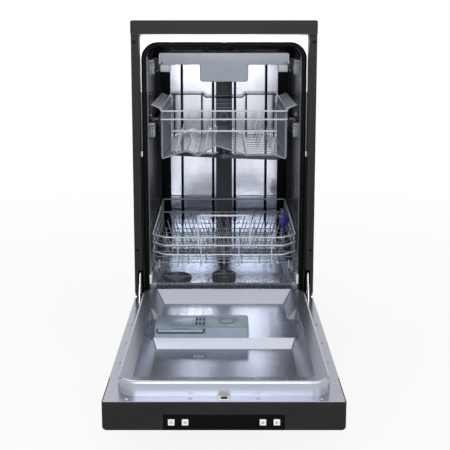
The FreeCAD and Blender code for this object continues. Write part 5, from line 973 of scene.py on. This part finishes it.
rim_bars = []
for half, back, front_z, rear_z in ((UPPER_SIDE, UPPER_FAR - 6, UPPER_RIM, REAR_RIM - 1),
                                    (UPPER_SIDE, UPPER_FAR - 6, UPPER_MID, UPPER_MID),
                                    (UPPER_LOW_HALF, UPPER_NEAR + UPPER_TUCK, UPPER_LOW, UPPER_LOW - 8)):
    rim_bars.append([(-half, back, rear_z), (-half, UPPER_NEAR, front_z), (half, UPPER_NEAR, front_z),
                     (half, back, rear_z)])
placed(grown("upper_basket_bars", bent_wire, rim_bars, wire_nylon, Radius=WIRE, Bend=WIRE_BEND), "upper_basket",
       "wire_coating", "upper_basket")
ridge = [(share * RIDGE_HALF, UPPER_FLOOR + rise) for share, rise in RIDGE]
floor_wires = [[(x, UPPER_NEAR + 4, z) for x, z in ridge]]
for y in spread(UPPER_NEAR + UPPER_TUCK, UPPER_FAR - 8.0, UPPER_WIRES):
    floor_wires.append([(-UPPER_SIDE, y, UPPER_RIM), (-UPPER_SIDE, y, UPPER_FLOOR)] + [(x, y, z) for x, z in ridge]
                       + [(UPPER_SIDE, y, UPPER_FLOOR), (UPPER_SIDE, y, UPPER_RIM)])
for x, z in ridge[1:-1]:
    floor_wires.append([(x, UPPER_NEAR + 4, z - 1), (x, UPPER_FAR - 2, z - 1)])
for x in UPPER_UPRIGHTS:
    floor_wires.append([(x, UPPER_NEAR + 3, UPPER_RIM), (x, UPPER_NEAR + 3, UPPER_FLOOR + 14),
                        (x, UPPER_NEAR + 24, UPPER_FLOOR + 10)])
tine_wires = [[(x, y, UPPER_FLOOR + 6), (x + lean, y, UPPER_FLOOR + UPPER_TINE_RISE)]
              for y in spread(UPPER_NEAR + 40.0, UPPER_FAR - 60.0, UPPER_TINE_ROWS) for x, lean in UPPER_TINES]
placed(grown("upper_basket_floor_wires", bent_wire, floor_wires, shaded_nylon, Radius=THIN_WIRE, Bend=WIRE_BEND),
       "upper_basket", "wire_coating")
placed(grown("upper_basket_tines", bent_wire, tine_wires, wire_nylon, Radius=TINE_WIRE, Bend=0.0), "upper_basket",
       "wire_coating")
rear_rim = [(-UPPER_SIDE, UPPER_FAR - 14, REAR_RIM), (-UPPER_SIDE, UPPER_FAR, REAR_RIM),
            (-DIP_HALF, UPPER_FAR, REAR_RIM), (8 - DIP_HALF, UPPER_FAR, REAR_DIP),
            (DIP_HALF - 8, UPPER_FAR, REAR_DIP), (DIP_HALF, UPPER_FAR, REAR_RIM),
            (UPPER_SIDE, UPPER_FAR, REAR_RIM), (UPPER_SIDE, UPPER_FAR - 14, REAR_RIM)]
rear_wires = [rear_rim] + [[(x, UPPER_FAR - 3, REAR_RIM - 1), (x, UPPER_FAR - 3, UPPER_FLOOR + 2),
                            (x, UPPER_FAR - 12, UPPER_FLOOR)] for x in REAR_UPRIGHTS]
placed(grown("upper_basket_rear_wires", bent_wire, rear_wires, deep_shade_nylon, Radius=WIRE, Bend=3.0), "upper_basket",
       "wire_coating")
runners = both_sides(*[(RUNNER_REACH, (y, y + RUNNER_LENGTH), RUNNER_HEIGHT) for y in RUNNER_STARTS])
placed(blocks("upper_basket_runners", runners, 2.5, grey_plastic, steps=3), "upper_basket", "rack_plastic")

# Side plates and cup shelves: grey moulded gratings clipped inside the upper basket's sides, and ribbed
# shelves that lean out over the rim and fold up on a barrel.
PLATE_GREY = "#7b7f87"
SHELF_LEAN, SHELF_WIDTH, SHELF_RIBS = 66.0, 26.0, 16
SHELF_BARS = (9, 16, SHELF_WIDTH - 2)
BARREL_X, BARREL_Z = 158.0, 633.4
plate_plastic = surface("moulded_polypropylene_plate", PLATE_GREY, 0.42, (16.0, 0.05), (0.8, 0.03, 0.12))
softened("basket_side_plates", 0.5, plate_plastic, steps=1)
for node, sign in (("left_cup_shelf", -1), ("right_cup_shelf", 1)):
    low, high = box_mm(node)
    lean = math.radians(SHELF_LEAN)
    out, rise = sign * math.sin(lean), math.cos(lean)
    near, far = low.y + 3.0, high.y - 3.0
    lines = [((2, y), (SHELF_WIDTH - 2, y)) for y in spread(near, far, SHELF_RIBS)]
    lines += [((reach, near - 1), (reach, far + 1)) for reach in SHELF_BARS]
    bars = [[(sign * BARREL_X + out * reach, y, BARREL_Z + rise * reach) for reach, y in line] for line in lines]
    placed(grown(node + "_bars", bent_wire, bars, grey_plastic, Radius=1.7, Bend=0.0), node, "rack_plastic", node)
    hinge = [[(sign * BARREL_X, y, BARREL_Z) for y in (low.y, high.y)]]
    placed(grown(node + "_barrel", bent_wire, hinge, grey_plastic, Radius=3.0, Bend=0.0), node, "rack_plastic")

# Lower basket: the same coated wire in a heavier frame, with a bow handle, a wire floor and rows of tines
# that lean out to both sides. One row folds, held by a blue clip, and the basket rolls on four wheels.
LOWER_SIDE, LOWER_NEAR, LOWER_FAR = 184.0, 94.3, 541.0
LOWER_FRONT_HALF, LOWER_CUT = 150.0, 36.0
LOWER_FLOOR = 228.0
LOWER_LOOPS = ((305.0, 317.0), (284.0, 277.0), (260.0, 252.0))
CROSS_WIRES, LONG_WIRES, LONG_HALF = 8, 7, 140.0
UPRIGHT_WIRE = 1.5
HANDLE_HALF, HANDLE_FOOT, HANDLE_TOP, HANDLE_WIRE = 66.0, 280.0, 361.0, 2.4
FRONT_UPRIGHTS = (-118.0, -59.0, 38.0, 122.0)
TINE_ROWS, TINE_FOOT = (152.3, 230.3, 432.3), LOWER_FLOOR + 5.0
FOLD_ROW, FOLD_FOOT = 324.3, 232.9
TINE_BAR, TINE_HALF, TINE_PARTING = 150.0, 139.0, 45.0
TINE_RISE, TINE_LEAN, TINE_COUNT = 66.0, 19.0, 13
CLIP = "#2d2a80"
front_bars, rear_bars = [], []
seam_y = (LOWER_NEAR + LOWER_CUT + LOWER_FAR) / 2
for front_z, rear_z in LOWER_LOOPS:
    left, right = [(x, seam_y, (front_z + rear_z) / 2) for x in (-LOWER_SIDE, LOWER_SIDE)]
    front_bars.append([left, (-LOWER_SIDE, LOWER_NEAR + LOWER_CUT, front_z),
                       (-LOWER_FRONT_HALF, LOWER_NEAR, front_z), (LOWER_FRONT_HALF, LOWER_NEAR, front_z),
                       (LOWER_SIDE, LOWER_NEAR + LOWER_CUT, front_z), right])
    far_left, far_right = [(x, LOWER_FAR, rear_z) for x in (-LOWER_SIDE, LOWER_SIDE)]
    closed = front_z > LOWER_LOOPS[-1][0]
    rear_bars += [[right, far_right, far_left, left]] if closed else [[right, far_right], [far_left, left]]
placed(grown("lower_basket_front_bars", bent_wire, front_bars, wire_nylon, Radius=WIRE, Bend=WIRE_BEND),
       "lower_basket", "wire_coating", "lower_basket")
# The rear bars, floor wires and tines are in the darker grey: painted shade.
placed(grown("lower_basket_rear_bars", bent_wire, rear_bars, shaded_nylon, Radius=WIRE, Bend=WIRE_BEND),
       "lower_basket", "wire_coating")
cross_wires = []
near_rim, far_rim = LOWER_LOOPS[0]
for y in spread(LOWER_NEAR + LOWER_CUT + 8, LOWER_FAR - 10, CROSS_WIRES):
    rim = near_rim + (far_rim - near_rim) * (y - LOWER_NEAR) / (LOWER_FAR - LOWER_NEAR)
    cross_wires.append([(-LOWER_SIDE + 1, y, rim), (-LOWER_SIDE + 1, y, LOWER_FLOOR),
                        (LOWER_SIDE - 1, y, LOWER_FLOOR), (LOWER_SIDE - 1, y, rim)])
uprights = [[(x, LOWER_NEAR + 22, LOWER_FLOOR + 2), (x, LOWER_FAR - 2, LOWER_FLOOR + 2)]
            for x in spread(-LONG_HALF, LONG_HALF, LONG_WIRES)]
for x in FRONT_UPRIGHTS:
    uprights.append([(x, LOWER_NEAR + 3, near_rim), (x, LOWER_NEAR + 3, LOWER_FLOOR),
                     (x, LOWER_NEAR + 60, LOWER_FLOOR)])
placed(grown("lower_basket_uprights", bent_wire, uprights, wire_nylon, Radius=UPRIGHT_WIRE, Bend=WIRE_BEND),
       "lower_basket", "wire_coating")


def tine_row(y, foot):
    """A bar across the basket, with tines that lean to the left on its left part and to the right on the rest."""
    row = [[(-TINE_BAR, y, foot), (TINE_BAR, y, foot)]]
    for x in spread(-TINE_HALF, TINE_HALF, TINE_COUNT):
        lean = -TINE_LEAN if x < TINE_PARTING else TINE_LEAN
        row.append([(x, y, foot), (x + lean, y, foot + TINE_RISE)])
    return row


for y in TINE_ROWS:
    cross_wires += tine_row(y, TINE_FOOT)
placed(grown("lower_basket_floor_wires", bent_wire, cross_wires, shaded_nylon, Radius=THIN_WIRE, Bend=WIRE_BEND),
       "lower_basket", "wire_coating")
handle = [[(x, LOWER_NEAR + 4, z) for x, z in ((-HANDLE_HALF, HANDLE_FOOT), (-HANDLE_HALF, HANDLE_TOP),
                                               (HANDLE_HALF, HANDLE_TOP), (HANDLE_HALF, HANDLE_FOOT))]]
placed(grown("lower_basket_handle", bent_wire, handle, wire_nylon, Radius=HANDLE_WIRE, Bend=WIRE_BEND),
       "lower_basket", "wire_coating")
placed(grown("folding_tine_wires", bent_wire, tine_row(FOLD_ROW, FOLD_FOOT), shaded_nylon, Radius=THIN_WIRE, Bend=2.0),
       "folding_tines", "wire_coating", "folding_tines")
clip_plastic = surface("moulded_blue_acetal", CLIP, 0.30, (10.0, 0.08), (0.7, 0.02, 0.12))
low, high = box_mm("tine_clip")
middle = (low.z + high.z) / 2
clip_parts = [((153.5, 174.5), (low.y, high.y), (middle - 14.0, middle + 14.0)),
              ((158.0, 170.0), (low.y + 0.6, high.y - 0.6), (low.z, high.z)),
              ((166.0, high.x), (low.y + 1.2, high.y - 1.2), (middle - 5.0, middle + 9.0))]
placed(blocks("tine_clip_moulding", clip_parts, 2.0, clip_plastic, steps=3), "lower_basket", "clip_plastic",
       "tine_clip")

# Wheels: grey moulded acetal rims with six spokes, each on a stub of wire bent down from the lower basket.
# Their turned faces are dished on both sides and shine a little on the rim.
WHEEL_GREY = "#7e828a"
WHEEL_FACE = ((3.1, 0), (6.5, 0), (6.5, 2.2), (11.5, 2.2), (12.5, 0.4), (14.8, 0), (16, 1.2))
SPOKES, SPOKE_FOOT, SPOKE_END = 6, 6.0, 12.5
AXLE_OUT, AXLE_IN, AXLE_WIRE, AXLE_BEND = 181.0, 170.5, 2.6, 4.0
WHEELS = {"front_left_wheel": -1, "front_right_wheel": 1, "rear_left_wheel": -1, "rear_right_wheel": 1}
wheel_plastic = surface("moulded_grey_acetal", WHEEL_GREY, 0.38, (12.0, 0.05), (0.8, 0.02, 0.12))
axles = []
for node, sign in WHEELS.items():
    low, high = box_mm(node)
    width = high.x - low.x
    y, z = (low.y + high.y) / 2, (low.z + high.z) / 2
    far_face = [(radius, width - inset) for radius, inset in reversed(WHEEL_FACE)]
    profile = (*WHEEL_FACE, *far_face, WHEEL_FACE[0])
    work = bmesh.new()
    turned(work, profile, (low.x, y, z), (1, 0, 0), 36)
    bmesh.ops.remove_doubles(work, verts=work.verts, dist=0.01 * MM)
    placed(mesh_piece(node + "_turned", work, wheel_plastic), node, "rack_plastic", node)
    spokes = [[(low.x + width / 2, y + along, z + up) for along, up in ends]
              for ends in zip(round_points(SPOKES, SPOKE_FOOT), round_points(SPOKES, SPOKE_END))]
    placed(grown(node + "_spokes", flat_bar, spokes, wheel_plastic, Width=5.4, Height=1.8, Round=0.5, Bend=0), node,
           "rack_plastic")
    axles.append([(sign * AXLE_OUT, y, z), (sign * AXLE_IN, y, z), (sign * AXLE_IN, y, LOWER_FLOOR)])
placed(grown("wheel_axles", bent_wire, axles, wire_nylon, Radius=AXLE_WIRE, Bend=AXLE_BEND), "lower_basket",
       "wire_coating")
